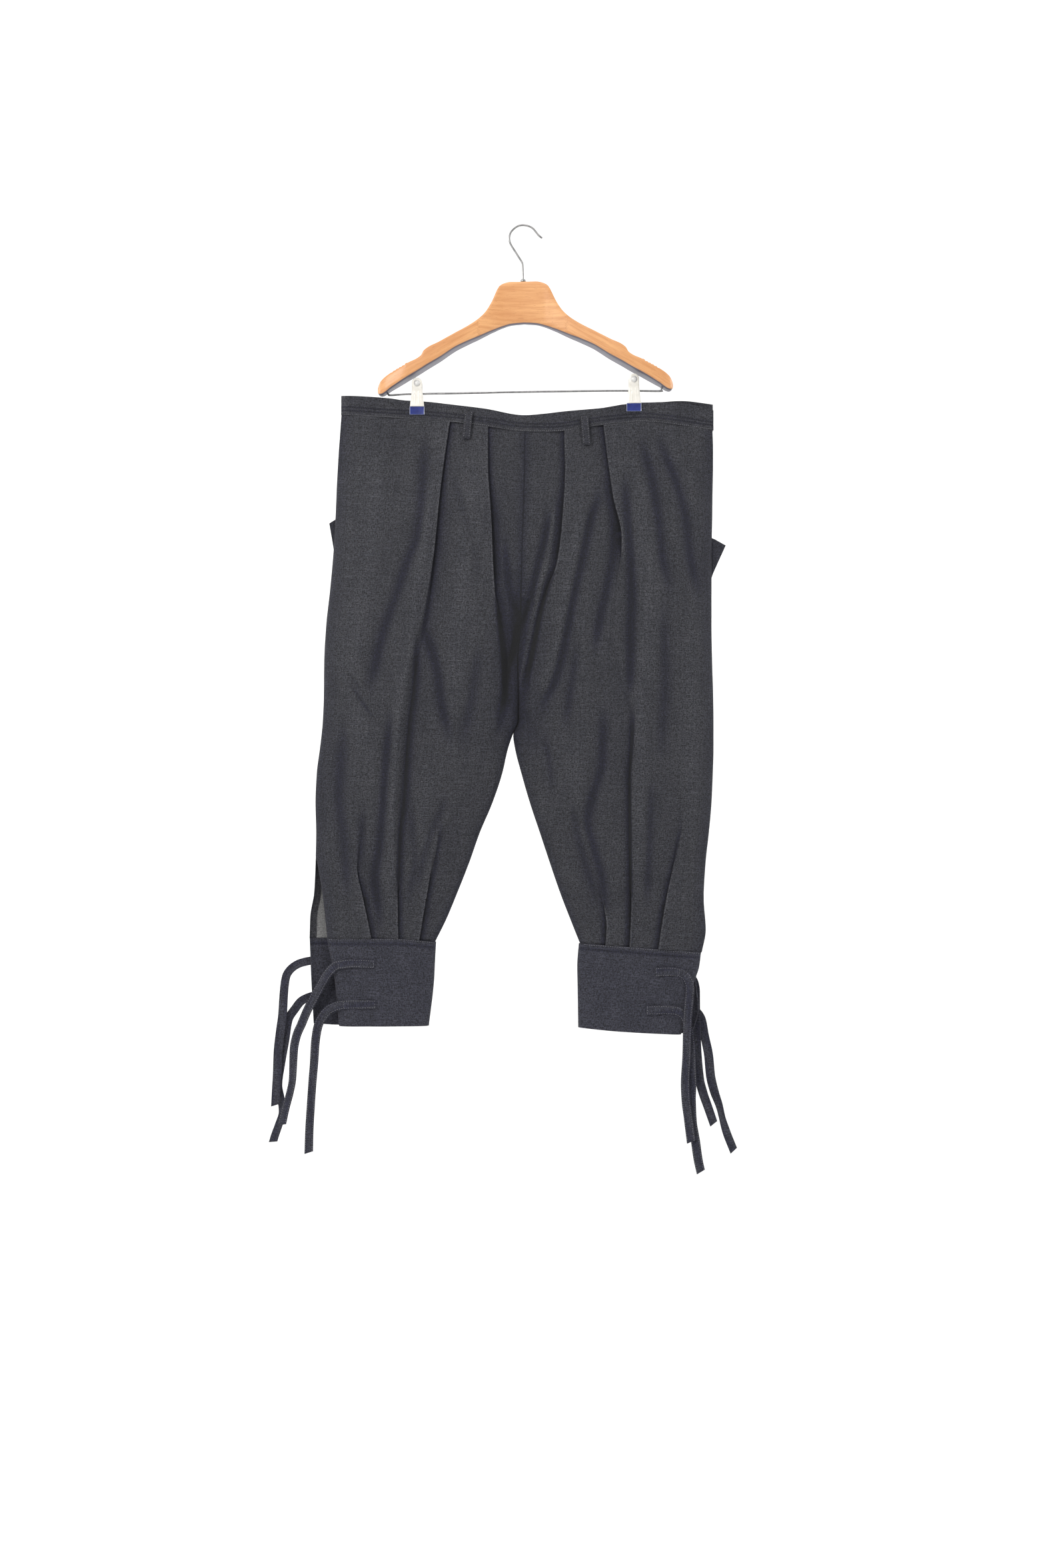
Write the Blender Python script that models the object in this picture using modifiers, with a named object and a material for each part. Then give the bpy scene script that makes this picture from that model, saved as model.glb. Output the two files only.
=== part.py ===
# Tapered denim trousers with pleated waist and tied cuffs, on a wooden clip hanger.
# Metres, +Z up, front towards -Y, origin inside the crown of the hook.
# The tables hold millimetres: x to the right, drop below the origin, y towards the back.

import math
from collections import namedtuple

import bmesh
import bpy
import numpy as np

MM = 0.001
OBJECT_NAME = "tapered_trousers"

DENIM_WALL = 1.2
DOUBLE_WALL = 2.2
LOOP_WALL = 1.8
TIE_WIDTH = 13.0
TIE_WALL = 1.8
SEAM_GAP = 0.6
LAY_GAP = 0.35

# Materials: colour, roughness, metallic
DENIM = ("denim", (0.055, 0.062, 0.078), 0.9, 0.0)
WOOD = ("varnished_wood", (0.78, 0.45, 0.22), 0.35, 0.0)
WIRE = ("steel_wire", (0.62, 0.62, 0.64), 0.25, 1.0)
CREAM = ("cream_metal", (0.8, 0.76, 0.66), 0.4, 0.0)
VINYL = ("blue_vinyl", (0.1, 0.3, 0.6), 0.5, 0.0)


def smoothstep(low, high, value):
    t = np.clip((value - low) / (high - low), 0.0, 1.0)
    return t * t * (3.0 - 2.0 * t)


def mix(first, second, share):
    return first + (second - first) * share


def smooth_curve(xs, ys):
    """A function through the points that never swings past them."""
    xs = np.array(xs, float)
    ys = np.array(ys, float)
    steps = np.diff(xs)
    slopes = np.diff(ys) / steps
    tangents = np.zeros(len(xs))
    tangents[0] = slopes[0]
    tangents[-1] = slopes[-1]
    for i in range(1, len(xs) - 1):
        if slopes[i - 1] * slopes[i] > 0:
            w1 = 2 * steps[i] + steps[i - 1]
            w2 = steps[i] + 2 * steps[i - 1]
            tangents[i] = (w1 + w2) / (w1 / slopes[i - 1] + w2 / slopes[i])

    def value(at):
        at = min(max(at, xs[0]), xs[-1])
        i = min(int(np.searchsorted(xs, at, side="right")) - 1, len(xs) - 2)
        t = (at - xs[i]) / steps[i]
        return float(
            (2 * t**3 - 3 * t**2 + 1) * ys[i]
            + (t**3 - 2 * t**2 + t) * steps[i] * tangents[i]
            + (3 * t**2 - 2 * t**3) * ys[i + 1]
            + (t**3 - t**2) * steps[i] * tangents[i + 1]
        )

    return value


def column_curve(rows, along, column):
    return smooth_curve([getattr(r, along) for r in rows], [getattr(r, column) for r in rows])


# Outline of the body and legs: the outer edges, and the centre seam that parts at the crotch.
# deep is half the garment's depth in the middle of each leg.
Level = namedtuple("Level", "drop left_out left_in right_in right_out deep")
LEVELS = (
    Level(297, -274.5, 1, 1, 281.5, 14),
    Level(322, -276, 0, 0, 282, 15),
    Level(355, -278.5, 0, 0, 282, 18),
    Level(395, -281, -1, -1, 281.5, 21),
    Level(440, -283, -2, -2, 281, 24),
    Level(490, -286, -4, -4, 280, 26),
    Level(545, -291, -5, -5, 280, 28),
    Level(600, -297, -6, -6, 280, 29),
    Level(655, -300, -10, -10, 281, 29),
    Level(705, -300.5, -9, -9, 282.5, 28),
    Level(742, -302, -9, -9, 283, 27),
    Level(764, -304, -18, -17, 283, 26),
    Level(785, -306.5, -25, -14, 283, 26),
    Level(820, -311, -33, -5, 282, 26),
    Level(865, -313, -48, 8, 280, 25),
    Level(910, -312, -67, 23, 276, 23),
    Level(955, -313, -83, 38, 271, 20),
    Level(1000, -315, -101, 54, 268, 17),
    Level(1040, -321, -118, 70, 271, 14),
    Level(1072, -322, -134, 83, 265, 12.5),
)
CROTCH_DROP = 764
BACK_SKIPS = (355, 545, 655, 742, 820, 910)
# The section rounds off over this width from the side seam, and dips a little at the centre seam.
EDGE_ROUND = 120.0
CENTRE_DIP = 0.14
CENTRE_DIP_WIDTH = 60.0
LEGS_PART_FROM = 600.0
BAND_BLEND_END = 440.0
SEAM_EDGE = 0.8

# Waistband: its two edges, the lift of the back's top edge over the front's, and its half depth
# at the top edge, which is least where the clips close on it.
BandPoint = namedtuple("BandPoint", "x top bottom back_lift deep")
BAND = (
    BandPoint(-274, 255, 284, 0, 0.8),
    BandPoint(-262, 255.5, 285, 0, 4.5),
    BandPoint(-236, 257, 287, 0, 6.5),
    BandPoint(-205, 259, 288.5, 0, 5),
    BandPoint(-178, 262, 289.5, 0, 1.7),
    BandPoint(-145, 264, 291.5, 0, 1.7),
    BandPoint(-112, 269, 295.5, 0, 9),
    BandPoint(-60, 276.5, 303, 0, 15),
    BandPoint(0, 287, 311.5, 2, 18),
    BandPoint(30, 284.5, 312, 1, 17),
    BandPoint(57, 281, 310.5, 0, 15),
    BandPoint(84, 278, 306, 0, 12),
    BandPoint(112, 275, 301, 0, 9),
    BandPoint(147, 268, 296, 0, 1.7),
    BandPoint(180, 265, 294, 0, 1.7),
    BandPoint(206, 265, 296.5, 2, 5),
    BandPoint(240, 268, 301.5, 7, 7.5),
    BandPoint(265, 273, 305, 9, 6),
    BandPoint(283, 277, 307.5, 10, 4),
)
BAND_SPREAD = 1.5

# Pleat and fold lines of the front, from the outer edge inwards. under is how much cloth the fold
# takes back beneath it (negative: the fold has opened and spreads that far), step its height.
FoldPoint = namedtuple("FoldPoint", "drop x under step")
LEFT_FOLDS = (
    (
        FoldPoint(290, -205, -8, 0),
        FoldPoint(561, -222, -8, 0),
        FoldPoint(801, -243, -8, 0),
        FoldPoint(891, -245, -6, 2),
        FoldPoint(961, -250, 0, 4),
        FoldPoint(1011, -241, 6, 5),
        FoldPoint(1072, -229, 10, 4),
    ),
    (
        FoldPoint(296, -112, 14, 3.8),
        FoldPoint(330, -117, 12, 5),
        FoldPoint(401, -126, 8, 7),
        FoldPoint(501, -136, 2, 8),
        FoldPoint(591, -150, -5, 9),
        FoldPoint(651, -170, -8, 9),
        FoldPoint(711, -181, -10, 9),
        FoldPoint(801, -190, -10, 9),
        FoldPoint(891, -196, -10, 8),
        FoldPoint(951, -194, -8, 6),
        FoldPoint(1000, -190, 0, 5),
        FoldPoint(1072, -189, 10, 4),
    ),
    (
        FoldPoint(303, -55, 14, 3.8),
        FoldPoint(351, -55, 12, 6),
        FoldPoint(441, -50, 8, 9),
        FoldPoint(561, -44, 4, 10),
        FoldPoint(651, -34, 0, 9),
        FoldPoint(721, -33, -4, 6),
        FoldPoint(761, -50, -8, 3),
        FoldPoint(801, -70, -8, 0),
        FoldPoint(861, -97, -8, 2),
        FoldPoint(921, -130, -5, 4),
        FoldPoint(1001, -146, 4, 5),
        FoldPoint(1072, -158, 10, 4),
    ),
)
RIGHT_FOLDS = (
    (
        FoldPoint(300, 225, -8, 0),
        FoldPoint(501, 235, -8, 0),
        FoldPoint(701, 245, -8, 1),
        FoldPoint(801, 245, -8, 2),
        FoldPoint(901, 235, -5, 3),
        FoldPoint(951, 224, 0, 4),
        FoldPoint(1011, 210, 6, 5),
        FoldPoint(1086, 198, 10, 4),
    ),
    (
        FoldPoint(301, 119, 14, 3.8),
        FoldPoint(350, 125, 12, 5),
        FoldPoint(411, 133, 9, 7),
        FoldPoint(469, 145, 5, 8),
        FoldPoint(531, 143, -3, 8),
        FoldPoint(621, 138, -6, 7),
        FoldPoint(681, 142, -8, 6),
        FoldPoint(731, 160, -6, 6),
        FoldPoint(901, 160, -6, 5),
        FoldPoint(1001, 160, 0, 5),
        FoldPoint(1082, 157, 10, 4),
    ),
    (
        FoldPoint(311, 60, 14, 3.8),
        FoldPoint(361, 61, 12, 6),
        FoldPoint(441, 57, 8, 9),
        FoldPoint(501, 50, 6, 10),
        FoldPoint(561, 31, 3, 10),
        FoldPoint(621, 20, 0, 9),
        FoldPoint(681, 10, -3, 8),
        FoldPoint(721, 8, -4, 5),
        FoldPoint(761, 22, -8, 2),
        FoldPoint(821, 60, -8, 0),
        FoldPoint(921, 100, -8, 1),
        FoldPoint(1001, 116, -2, 3),
        FoldPoint(1044, 123, 6, 5),
        FoldPoint(1078, 121, 10, 4),
    ),
)

# Back folds, for either leg: share is the place across the leg from its outer edge.
BackFoldPoint = namedtuple("BackFoldPoint", "drop share under step")
BACK_FOLDS = (
    (
        BackFoldPoint(300, 0.34, -8, 0),
        BackFoldPoint(700, 0.33, -8, 3),
        BackFoldPoint(900, 0.34, -6, 3),
        BackFoldPoint(1000, 0.36, 2, 4.5),
        BackFoldPoint(1080, 0.37, 10, 4),
    ),
    (
        BackFoldPoint(300, 0.7, 14, 3.8),
        BackFoldPoint(400, 0.69, 9, 6),
        BackFoldPoint(520, 0.68, 0, 7),
        BackFoldPoint(700, 0.65, -8, 6),
        BackFoldPoint(900, 0.64, -6, 5),
        BackFoldPoint(1000, 0.66, 2, 4.5),
        BackFoldPoint(1080, 0.68, 10, 4),
    ),
)

# Open creases: height towards the viewer (negative: a valley) and half width, along two-column paths.
Crease = namedtuple("Crease", "panel height half_width path")
CREASES = (
    Crease("front_left", -6, 16, ((470, -165), (520, -190), (600, -208), (700, -212), (860, -216), (970, -222))),
    Crease("front_left", -4, 15, ((600, -150), (660, -132), (730, -118), (800, -130), (880, -160))),
    Crease("front_left", 4, 18, ((340, -85), (450, -78), (560, -90), (660, -96), (750, -90))),
    Crease("front_left", -4, 14, ((760, -270), (850, -276), (930, -268), (1000, -264))),
    Crease("front_right", -6, 14, ((440, 110), (490, 88), (560, 72), (620, 61), (700, 42))),
    Crease("front_right", -5, 13, ((350, 176), (420, 194), (470, 203), (540, 212), (640, 208), (760, 206))),
    Crease("front_right", 4, 16, ((420, 240), (480, 244), (560, 246), (700, 240))),
    Crease("front_right", -5, 14, ((760, 118), (830, 104), (900, 84), (970, 104))),
    Crease("back_left", -5, 22, ((380, -215), (520, -190), (680, -205), (860, -250))),
    Crease("back_left", -5, 18, ((600, -60), (700, -80), (820, -110), (960, -150))),
    Crease("back_right", -5, 22, ((400, 210), (540, 185), (700, 200), (880, 235))),
    Crease("back_right", -5, 18, ((620, 40), (720, 60), (840, 80), (980, 110))),
)
CREASE_FADE = 45.0

# Cuffs: hem line and the slanted edges of the two free ends.
Cuff = namedtuple("Cuff", "inner front_end back_end top bottom")
EndPoint = namedtuple("EndPoint", "drop x")
CUFFS = {
    "left": Cuff(
        inner=(EndPoint(1072, -134), EndPoint(1100, -135.5), EndPoint(1130, -137), EndPoint(1200, -145)),
        front_end=(EndPoint(1071, -295), EndPoint(1123, -285), EndPoint(1200, -277)),
        back_end=(EndPoint(1068, -322), EndPoint(1121, -320), EndPoint(1196, -316)),
        top=(EndPoint(1068.5, -322), EndPoint(1068, -197), EndPoint(1073.5, -134)),
        bottom=(EndPoint(1196, -322), EndPoint(1199.5, -277), EndPoint(1199.5, -145)),
    ),
    "right": Cuff(
        inner=(EndPoint(1075, 83), EndPoint(1110, 80.5), EndPoint(1140, 81), EndPoint(1202, 82)),
        front_end=(EndPoint(1088, 264), EndPoint(1111, 261), EndPoint(1132, 254), EndPoint(1212, 234)),
        back_end=(EndPoint(1088, 265), EndPoint(1132, 257), EndPoint(1173, 261), EndPoint(1208, 253)),
        top=(EndPoint(1075.5, 83), EndPoint(1080, 150), EndPoint(1089, 264)),
        bottom=(EndPoint(1202, 82), EndPoint(1208, 154), EndPoint(1212, 234)),
    ),
}
CUFF_TOP = 1070.0
CUFF_HEM = 1205.0
CUFF_BLEND_START = 930.0
SLIT_START = 950.0
SLIT_FULL = 1010.0
SLIT_LIFT = 4.0
SLIT_LIFT_SHARE = 0.35
# The left front edge runs inside the outline where the slit is open.
SLIT_EDGE = (EndPoint(943, -313), EndPoint(968, -308), EndPoint(1009, -301.5), EndPoint(1071, -295))

# Pockets: the hidden bag and the corner that sticks out of the side seam.
PocketPoint = namedtuple("PocketPoint", "x drop")
POCKETS = {
    "left": (
        PocketPoint(-205, 330),
        PocketPoint(-268, 330),
        PocketPoint(-274, 436),
        PocketPoint(-293, 446),
        PocketPoint(-287, 481),
        PocketPoint(-283, 511),
        PocketPoint(-270, 545),
        PocketPoint(-205, 560),
    ),
    "right": (
        PocketPoint(205, 345),
        PocketPoint(268, 345),
        PocketPoint(279, 467),
        PocketPoint(302, 479),
        PocketPoint(292, 501),
        PocketPoint(283, 521),
        PocketPoint(270, 560),
        PocketPoint(205, 575),
    ),
}
POCKET_WALL = 1.6
POCKET_OPEN = (340.0, 400.0, 515.0, 560.0)
POCKET_GAPE = 1.2

# Belt loops: centre x and the two ends, on the front and the back.
Loop = namedtuple("Loop", "name face x_top x_bottom top bottom")
LOOPS = (
    Loop("belt_loop_front_left", "front", -83, -87, 281.5, 322),
    Loop("belt_loop_front_right", "front", 89, 93, 288, 331),
    Loop("belt_loop_back_left", "back", -87, -88, 281, 323),
    Loop("belt_loop_back_right", "back", 90, 91, 286, 328),
)
LOOP_WIDTH = 12.0
LOOP_BOW = 2.6

# Ties: points along each, with y in front of (negative) or behind the garment's middle plane. A
# None for y means that the tie is sewn there and lies on its cuff.
TiePoint = namedtuple("TiePoint", "x drop y")
TIES = {
    "tie_left_back_upper": (
        "back",
        TiePoint(-262, 1101, None),
        TiePoint(-290, 1101, None),
        TiePoint(-314, 1102, None),
        TiePoint(-336, 1106, 7),
        TiePoint(-350, 1114, 5),
        TiePoint(-358, 1126, 3),
        TiePoint(-361, 1148, 1),
        TiePoint(-363, 1182, 0),
        TiePoint(-367, 1213, 0),
        TiePoint(-370, 1241, 0),
        TiePoint(-371, 1271, -1),
        TiePoint(-373, 1301, -1),
        TiePoint(-374, 1319, -1),
    ),
    "tie_left_back_lower": (
        "back",
        TiePoint(-262, 1153, None),
        TiePoint(-290, 1153, None),
        TiePoint(-314, 1155, None),
        TiePoint(-335, 1163, 9),
        TiePoint(-345, 1175, 8),
        TiePoint(-355, 1191, 7),
        TiePoint(-360, 1221, 6),
        TiePoint(-366, 1256, 6),
        TiePoint(-370, 1289, 6),
        TiePoint(-366, 1311, 6),
        TiePoint(-364, 1330, 6),
        TiePoint(-370, 1351, 6),
        TiePoint(-375, 1365, 6),
        TiePoint(-378, 1375, 6),
    ),
    "tie_left_front_upper": (
        "front",
        TiePoint(-224, 1106, None),
        TiePoint(-255, 1105, None),
        TiePoint(-280, 1108, None),
        TiePoint(-293, 1119, -11.5),
        TiePoint(-304, 1137, -10.5),
        TiePoint(-314, 1155, -10),
        TiePoint(-325, 1176, -9.5),
        TiePoint(-333, 1195, -9),
        TiePoint(-341, 1214, -9),
        TiePoint(-345, 1234, -9),
        TiePoint(-346, 1256, -9),
        TiePoint(-347, 1278, -9),
        TiePoint(-351, 1299, -8),
        TiePoint(-357, 1321, -8),
        TiePoint(-363, 1347, -8),
    ),
    "tie_left_front_lower": (
        "front",
        TiePoint(-222, 1166, None),
        TiePoint(-250, 1166, None),
        TiePoint(-272, 1167, None),
        TiePoint(-290, 1173, -11),
        TiePoint(-302, 1185, -10),
        TiePoint(-309, 1200, -9),
        TiePoint(-313, 1224, -8),
        TiePoint(-315, 1256, -8),
        TiePoint(-317, 1278, -7),
        TiePoint(-320, 1321, -7),
        TiePoint(-322, 1354, -7),
        TiePoint(-323, 1389, -7),
    ),
    "tie_right_front_upper": (
        "front",
        TiePoint(195, 1118, None),
        TiePoint(215, 1117, None),
        TiePoint(232, 1119, None),
        TiePoint(243, 1127, -15),
        TiePoint(247, 1142, -16.5),
        TiePoint(245, 1166, -18),
        TiePoint(243, 1190, -17.5),
        TiePoint(242, 1242, -14.5),
        TiePoint(240, 1285, -12),
        TiePoint(241, 1307, -12),
        TiePoint(245, 1339, -12),
        TiePoint(249, 1372, -12),
    ),
    "tie_right_front_lower": (
        "front",
        TiePoint(182, 1175, None),
        TiePoint(205, 1174.5, None),
        TiePoint(222, 1175, None),
        TiePoint(236, 1181, -14),
        TiePoint(243, 1194, -12.5),
        TiePoint(247, 1213, -11),
        TiePoint(250, 1253, -9),
        TiePoint(251, 1285, -7),
        TiePoint(250, 1307, -7),
        TiePoint(251, 1339, -7),
        TiePoint(256, 1372, -7),
        TiePoint(260, 1400, -7),
        TiePoint(264, 1418, -7),
    ),
    "tie_right_back_upper": (
        "back",
        TiePoint(200, 1122, None),
        TiePoint(225, 1121, None),
        TiePoint(243, 1124, None),
        TiePoint(255, 1134, 10.5),
        TiePoint(258, 1150, 10.5),
        TiePoint(258, 1176, 10),
        TiePoint(259, 1231, 6),
        TiePoint(263, 1281, 3),
        TiePoint(268, 1301, 0),
        TiePoint(275, 1321, 0),
        TiePoint(284, 1347, 0),
    ),
    "tie_right_back_lower": (
        "back",
        TiePoint(200, 1174, None),
        TiePoint(225, 1173.5, None),
        TiePoint(243, 1174, None),
        TiePoint(259, 1180, 14),
        TiePoint(267, 1192, 14),
        TiePoint(271, 1215, 11),
        TiePoint(277, 1245, 9),
        TiePoint(280, 1276, 9),
        TiePoint(286, 1301, 9),
        TiePoint(293, 1321, 9),
        TiePoint(298, 1341, 9),
        TiePoint(304, 1361, 9),
        TiePoint(315, 1389, 9),
    ),
}
TIE_STATIONS = 17
TIE_SLACK = 0.5

# Hanger: right half of the wooden body, by stations from the middle to the tip.
HangerStation = namedtuple("HangerStation", "x top bottom half_depth")
HANGER = (
    HangerStation(0, 84, 147, 7),
    HangerStation(19, 84, 148.5, 7.5),
    HangerStation(30, 86.5, 151.5, 8),
    HangerStation(37, 91, 154, 9),
    HangerStation(44, 104, 157, 10),
    HangerStation(51, 121, 160, 11),
    HangerStation(60, 134, 164, 12.5),
    HangerStation(71, 140, 169, 14),
    HangerStation(85, 150, 175, 15.5),
    HangerStation(103, 160, 183.5, 17),
    HangerStation(127, 173, 199, 18.5),
    HangerStation(151, 186.5, 213, 19.5),
    HangerStation(155, 193.5, 215.5, 19.5),
    HangerStation(175, 204.5, 227, 19.5),
    HangerStation(200, 218, 242, 16),
    HangerStation(216, 230, 251, 11),
    HangerStation(222, 240, 248, 5),
)
HANGER_TILT = math.radians(-1.0)
HANGER_SHIFT = -3.0
HANGER_SIDES = 12
ROUNDNESS = 0.62

WIRE_RADIUS = 1.5
HOOK_PATH = (
    (-2, 80.5),
    (-2.6, 61),
    (-4, 54),
    (-9, 46),
    (-14, 38),
    (-20, 28.5),
    (-22.5, 22),
    (-22.5, 15),
    (-20, 8.5),
    (-14, 2.5),
    (-8, -0.8),
    (-1, -1.5),
    (6.6, 0),
    (12.7, 3.5),
    (17, 8.5),
    (21, 13.5),
    (26.4, 18),
)
FERRULE_RADIUS = 4.2
FERRULE_HEIGHT = 3.9
BAR_PATH = ((-205, 249.9), (-204, 252.6), (-200, 253.6), (-170, 252), (8, 248.5), (133, 247), (201, 247.5), (204.5, 246), (205.5, 241.7))

# Clips: where each hangs on the bar and the drop of its head's top.
Clip = namedtuple("Clip", "name x head pad_top")
CLIPS = (Clip("left", -161, 229, 271), Clip("right", 164, 223, 266))
PAD_LENGTH = 12.0
PAD_WIDTH = 22.0
PAD_WALL = 1.4
# Half outline of a jaw, by shares of its length, and how far it stands from the middle plane.
JawStation = namedtuple("JawStation", "share half_width out")
JAW = (
    JawStation(0, 5.5, 8.6),
    JawStation(0.07, 7.5, 8.3),
    JawStation(0.29, 7.8, 8.3),
    JawStation(0.38, 8, 6.8),
    JawStation(0.47, 8.2, 5.8),
    JawStation(0.6, 8.6, 5.75),
    JawStation(0.8, 9.6, 5.3),
    JawStation(1, 10.6, 5.0),
)
JAW_WALL = 1.1
SPRING_RADIUS = 4.8
SPRING_BORE = 2.2
SPRING_WIDTH = 11.0
RIVET_RADIUS = 4.7
RIVET_DOWN = 8.2
RIVET_HEIGHT = 3.2


def clear_scene():
    for obj in list(bpy.data.objects):
        bpy.data.objects.remove(obj, do_unlink=True)
    for old in list(bpy.data.collections):
        bpy.data.collections.remove(old)


def material(finish):
    name, colour, roughness, metallic = finish
    if name in bpy.data.materials:
        return bpy.data.materials[name]
    made = bpy.data.materials.new(name)
    made.use_nodes = True
    shader = made.node_tree.nodes["Principled BSDF"]
    shader.inputs["Base Color"].default_value = (*colour, 1.0)
    shader.inputs["Roughness"].default_value = roughness
    shader.inputs["Metallic"].default_value = metallic
    made.diffuse_color = (*colour, 1.0)
    return made


def place(x, y, drop):
    """A point of the tables in metres."""
    return (x * MM, y * MM, -drop * MM)


def add_object(name, data, collection, finish):
    data.materials.append(material(finish))
    obj = bpy.data.objects.new(name, data)
    collection.objects.link(obj)
    return obj


def add_bmesh(name, bm, collection, finish):
    mesh = bpy.data.meshes.new(name)
    bmesh.ops.recalc_face_normals(bm, faces=bm.faces)
    bm.to_mesh(mesh)
    bm.free()
    mesh.shade_smooth()
    return add_object(name, mesh, collection, finish)


def sheet(name, points, wall, collection, finish):
    """A cloth wall round a grid of points, rows by columns."""
    rows = len(points)
    columns = len(points[0])
    bm = bmesh.new()
    bmesh.ops.create_grid(bm, x_segments=columns - 1, y_segments=rows - 1, size=1.0)
    for vert in bm.verts:
        column = round((vert.co.x + 1.0) / 2.0 * (columns - 1))
        row = round((vert.co.y + 1.0) / 2.0 * (rows - 1))
        vert.co = place(*points[row][column])
    mesh = bpy.data.meshes.new(name)
    bm.to_mesh(mesh)
    bm.free()
    mesh.shade_smooth()
    obj = add_object(name, mesh, collection, finish)
    solidify = obj.modifiers.new("wall", "SOLIDIFY")
    solidify.thickness = wall * MM
    solidify.offset = 0.0
    return obj


# The cloth's form, shared by the panels, the band and the cuffs

band_top = column_curve(BAND, "x", "top")
band_bottom = column_curve(BAND, "x", "bottom")
band_lift = column_curve(BAND, "x", "back_lift")
band_deep = column_curve(BAND, "x", "deep")
body_deep = column_curve(LEVELS, "drop", "deep")
EDGES = {name: column_curve(LEVELS, "drop", name) for name in ("left_out", "left_in", "right_in", "right_out")}
slit_edge = column_curve(SLIT_EDGE, "drop", "x")
CUFF_LINES = {
    side: {
        "inner": column_curve(cuff.inner, "drop", "x"),
        "front_end": column_curve(cuff.front_end, "drop", "x"),
        "back_end": column_curve(cuff.back_end, "drop", "x"),
        "top": column_curve(cuff.top, "x", "drop"),
        "bottom": column_curve(cuff.bottom, "x", "drop"),
    }
    for side, cuff in CUFFS.items()
}


def quarter_round(t):
    """Rises like a quarter of an ellipse from an edge."""
    t = min(max(t, 0.0), 1.0)
    return math.sqrt(1.0 - (1.0 - t) ** 2)


def inward(side):
    return 1.0 if side == "left" else -1.0


def leg_edges(side, face, drop):
    """The outer and inner x of one panel at a level."""
    outer = EDGES[side + "_out"](drop)
    if side == "left" and face == "front" and drop > SLIT_EDGE[0].drop:
        outer = slit_edge(drop)
    return outer, EDGES[side + "_in"](drop)


def cuff_edges(side, face, drop):
    lines = CUFF_LINES[side]
    return lines[face + "_end"](drop), lines["inner"](drop)


def edge_gap(drop):
    """Half the distance between front and back at the side seam, more where the pocket opens."""
    low, full, last, high = POCKET_OPEN
    opening = smoothstep(low, full, drop) * (1.0 - smoothstep(last, high, drop))
    return SEAM_EDGE + POCKET_GAPE * opening


def half_depth(side, face, x, drop, edges):
    """Half the garment's depth, without its folds."""
    outer, inner = edges
    width = abs(inner - outer)
    from_outer = abs(x - outer)
    share = min(max(from_outer / width, 0.0), 1.0)
    deep = body_deep(drop)
    centre_dip = 1.0 - CENTRE_DIP * (1.0 - smoothstep(0.0, CENTRE_DIP_WIDTH, width - from_outer))
    torso = deep * quarter_round(from_outer / EDGE_ROUND) * centre_dip
    leg = deep * 2.0 * math.sqrt(share * (1.0 - share))
    depth = edge_gap(drop) + mix(torso, leg, smoothstep(LEGS_PART_FROM, CROTCH_DROP, drop))
    if face == "front":
        lift = SLIT_LIFT * smoothstep(SLIT_START, SLIT_FULL, drop)
        depth += lift * (1.0 - smoothstep(0.0, SLIT_LIFT_SHARE, share))
    at_band = band_deep(x) + BAND_SPREAD
    return mix(at_band, depth, smoothstep(LEVELS[0].drop, BAND_BLEND_END, drop))


def away(face):
    return -1.0 if face == "front" else 1.0


class FoldLine:
    """One pleat or fold line of a panel: where it runs and what it adds."""

    LEAD = 12.0
    TRAIL = 9.0
    REACH_OUT = 28.0
    REACH_IN = 22.0

    def __init__(self, rows, column):
        self.column = column
        self.line = column_curve(rows, "drop", column)
        self.under = column_curve(rows, "drop", "under")
        self.step = column_curve(rows, "drop", "step")

    def x(self, drop, edges):
        if self.column == "share":
            return mix(edges[0], edges[1], self.line(drop))
        return self.line(drop)

    def columns(self, drop, edges, turn):
        """The six columns at the fold: x, the x where the body is read, and their place in it."""
        edge = self.x(drop, edges)
        under = self.under(drop)
        first = -under if under > 0 else -under / 3.0
        second = -under if under > 0 else -under * 2.0 / 3.0
        middle = 0.0 if under > 0 else first
        return (
            (edge - turn * self.LEAD, edge - turn * self.LEAD, None),
            (edge, edge, 0.5),
            (edge + turn * middle, edge, 0.06),
            (edge + turn * second, edge, -0.06),
            (edge - turn * under, edge, -0.5),
            (edge + turn * self.TRAIL, edge + turn * self.TRAIL, None),
        )

    def raise_at(self, x, drop, edges, turn):
        """Height that the fold gives a plain column."""
        distance = turn * (x - self.x(drop, edges))
        reach = self.REACH_OUT if distance < 0 else self.REACH_IN
        height = 0.5 * self.step(drop) * math.exp(-abs(distance) / reach)
        return height if distance < 0 else -height


FOLDS = {
    "front_left": [FoldLine(rows, "x") for rows in LEFT_FOLDS],
    "front_right": [FoldLine(rows, "x") for rows in RIGHT_FOLDS],
    "back_left": [FoldLine(rows, "share") for rows in BACK_FOLDS],
    "back_right": [FoldLine(rows, "share") for rows in BACK_FOLDS],
}
PLAIN_COLUMNS = {"front": (4, 1, 2, 2), "back": (4, 2, 4)}


def crease_height(panel, x, drop):
    height = 0.0
    for crease in CREASES:
        first, last = crease.path[0][0], crease.path[-1][0]
        if crease.panel != panel or not first - CREASE_FADE < drop < last + CREASE_FADE:
            continue
        centre = smooth_curve([p[0] for p in crease.path], [p[1] for p in crease.path])(drop)
        fade = smoothstep(first - CREASE_FADE, first + CREASE_FADE, drop)
        fade *= 1.0 - smoothstep(last - CREASE_FADE, last + CREASE_FADE, drop)
        height += crease.height * fade * math.exp(-(((x - centre) / crease.half_width) ** 2))
    return height


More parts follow.
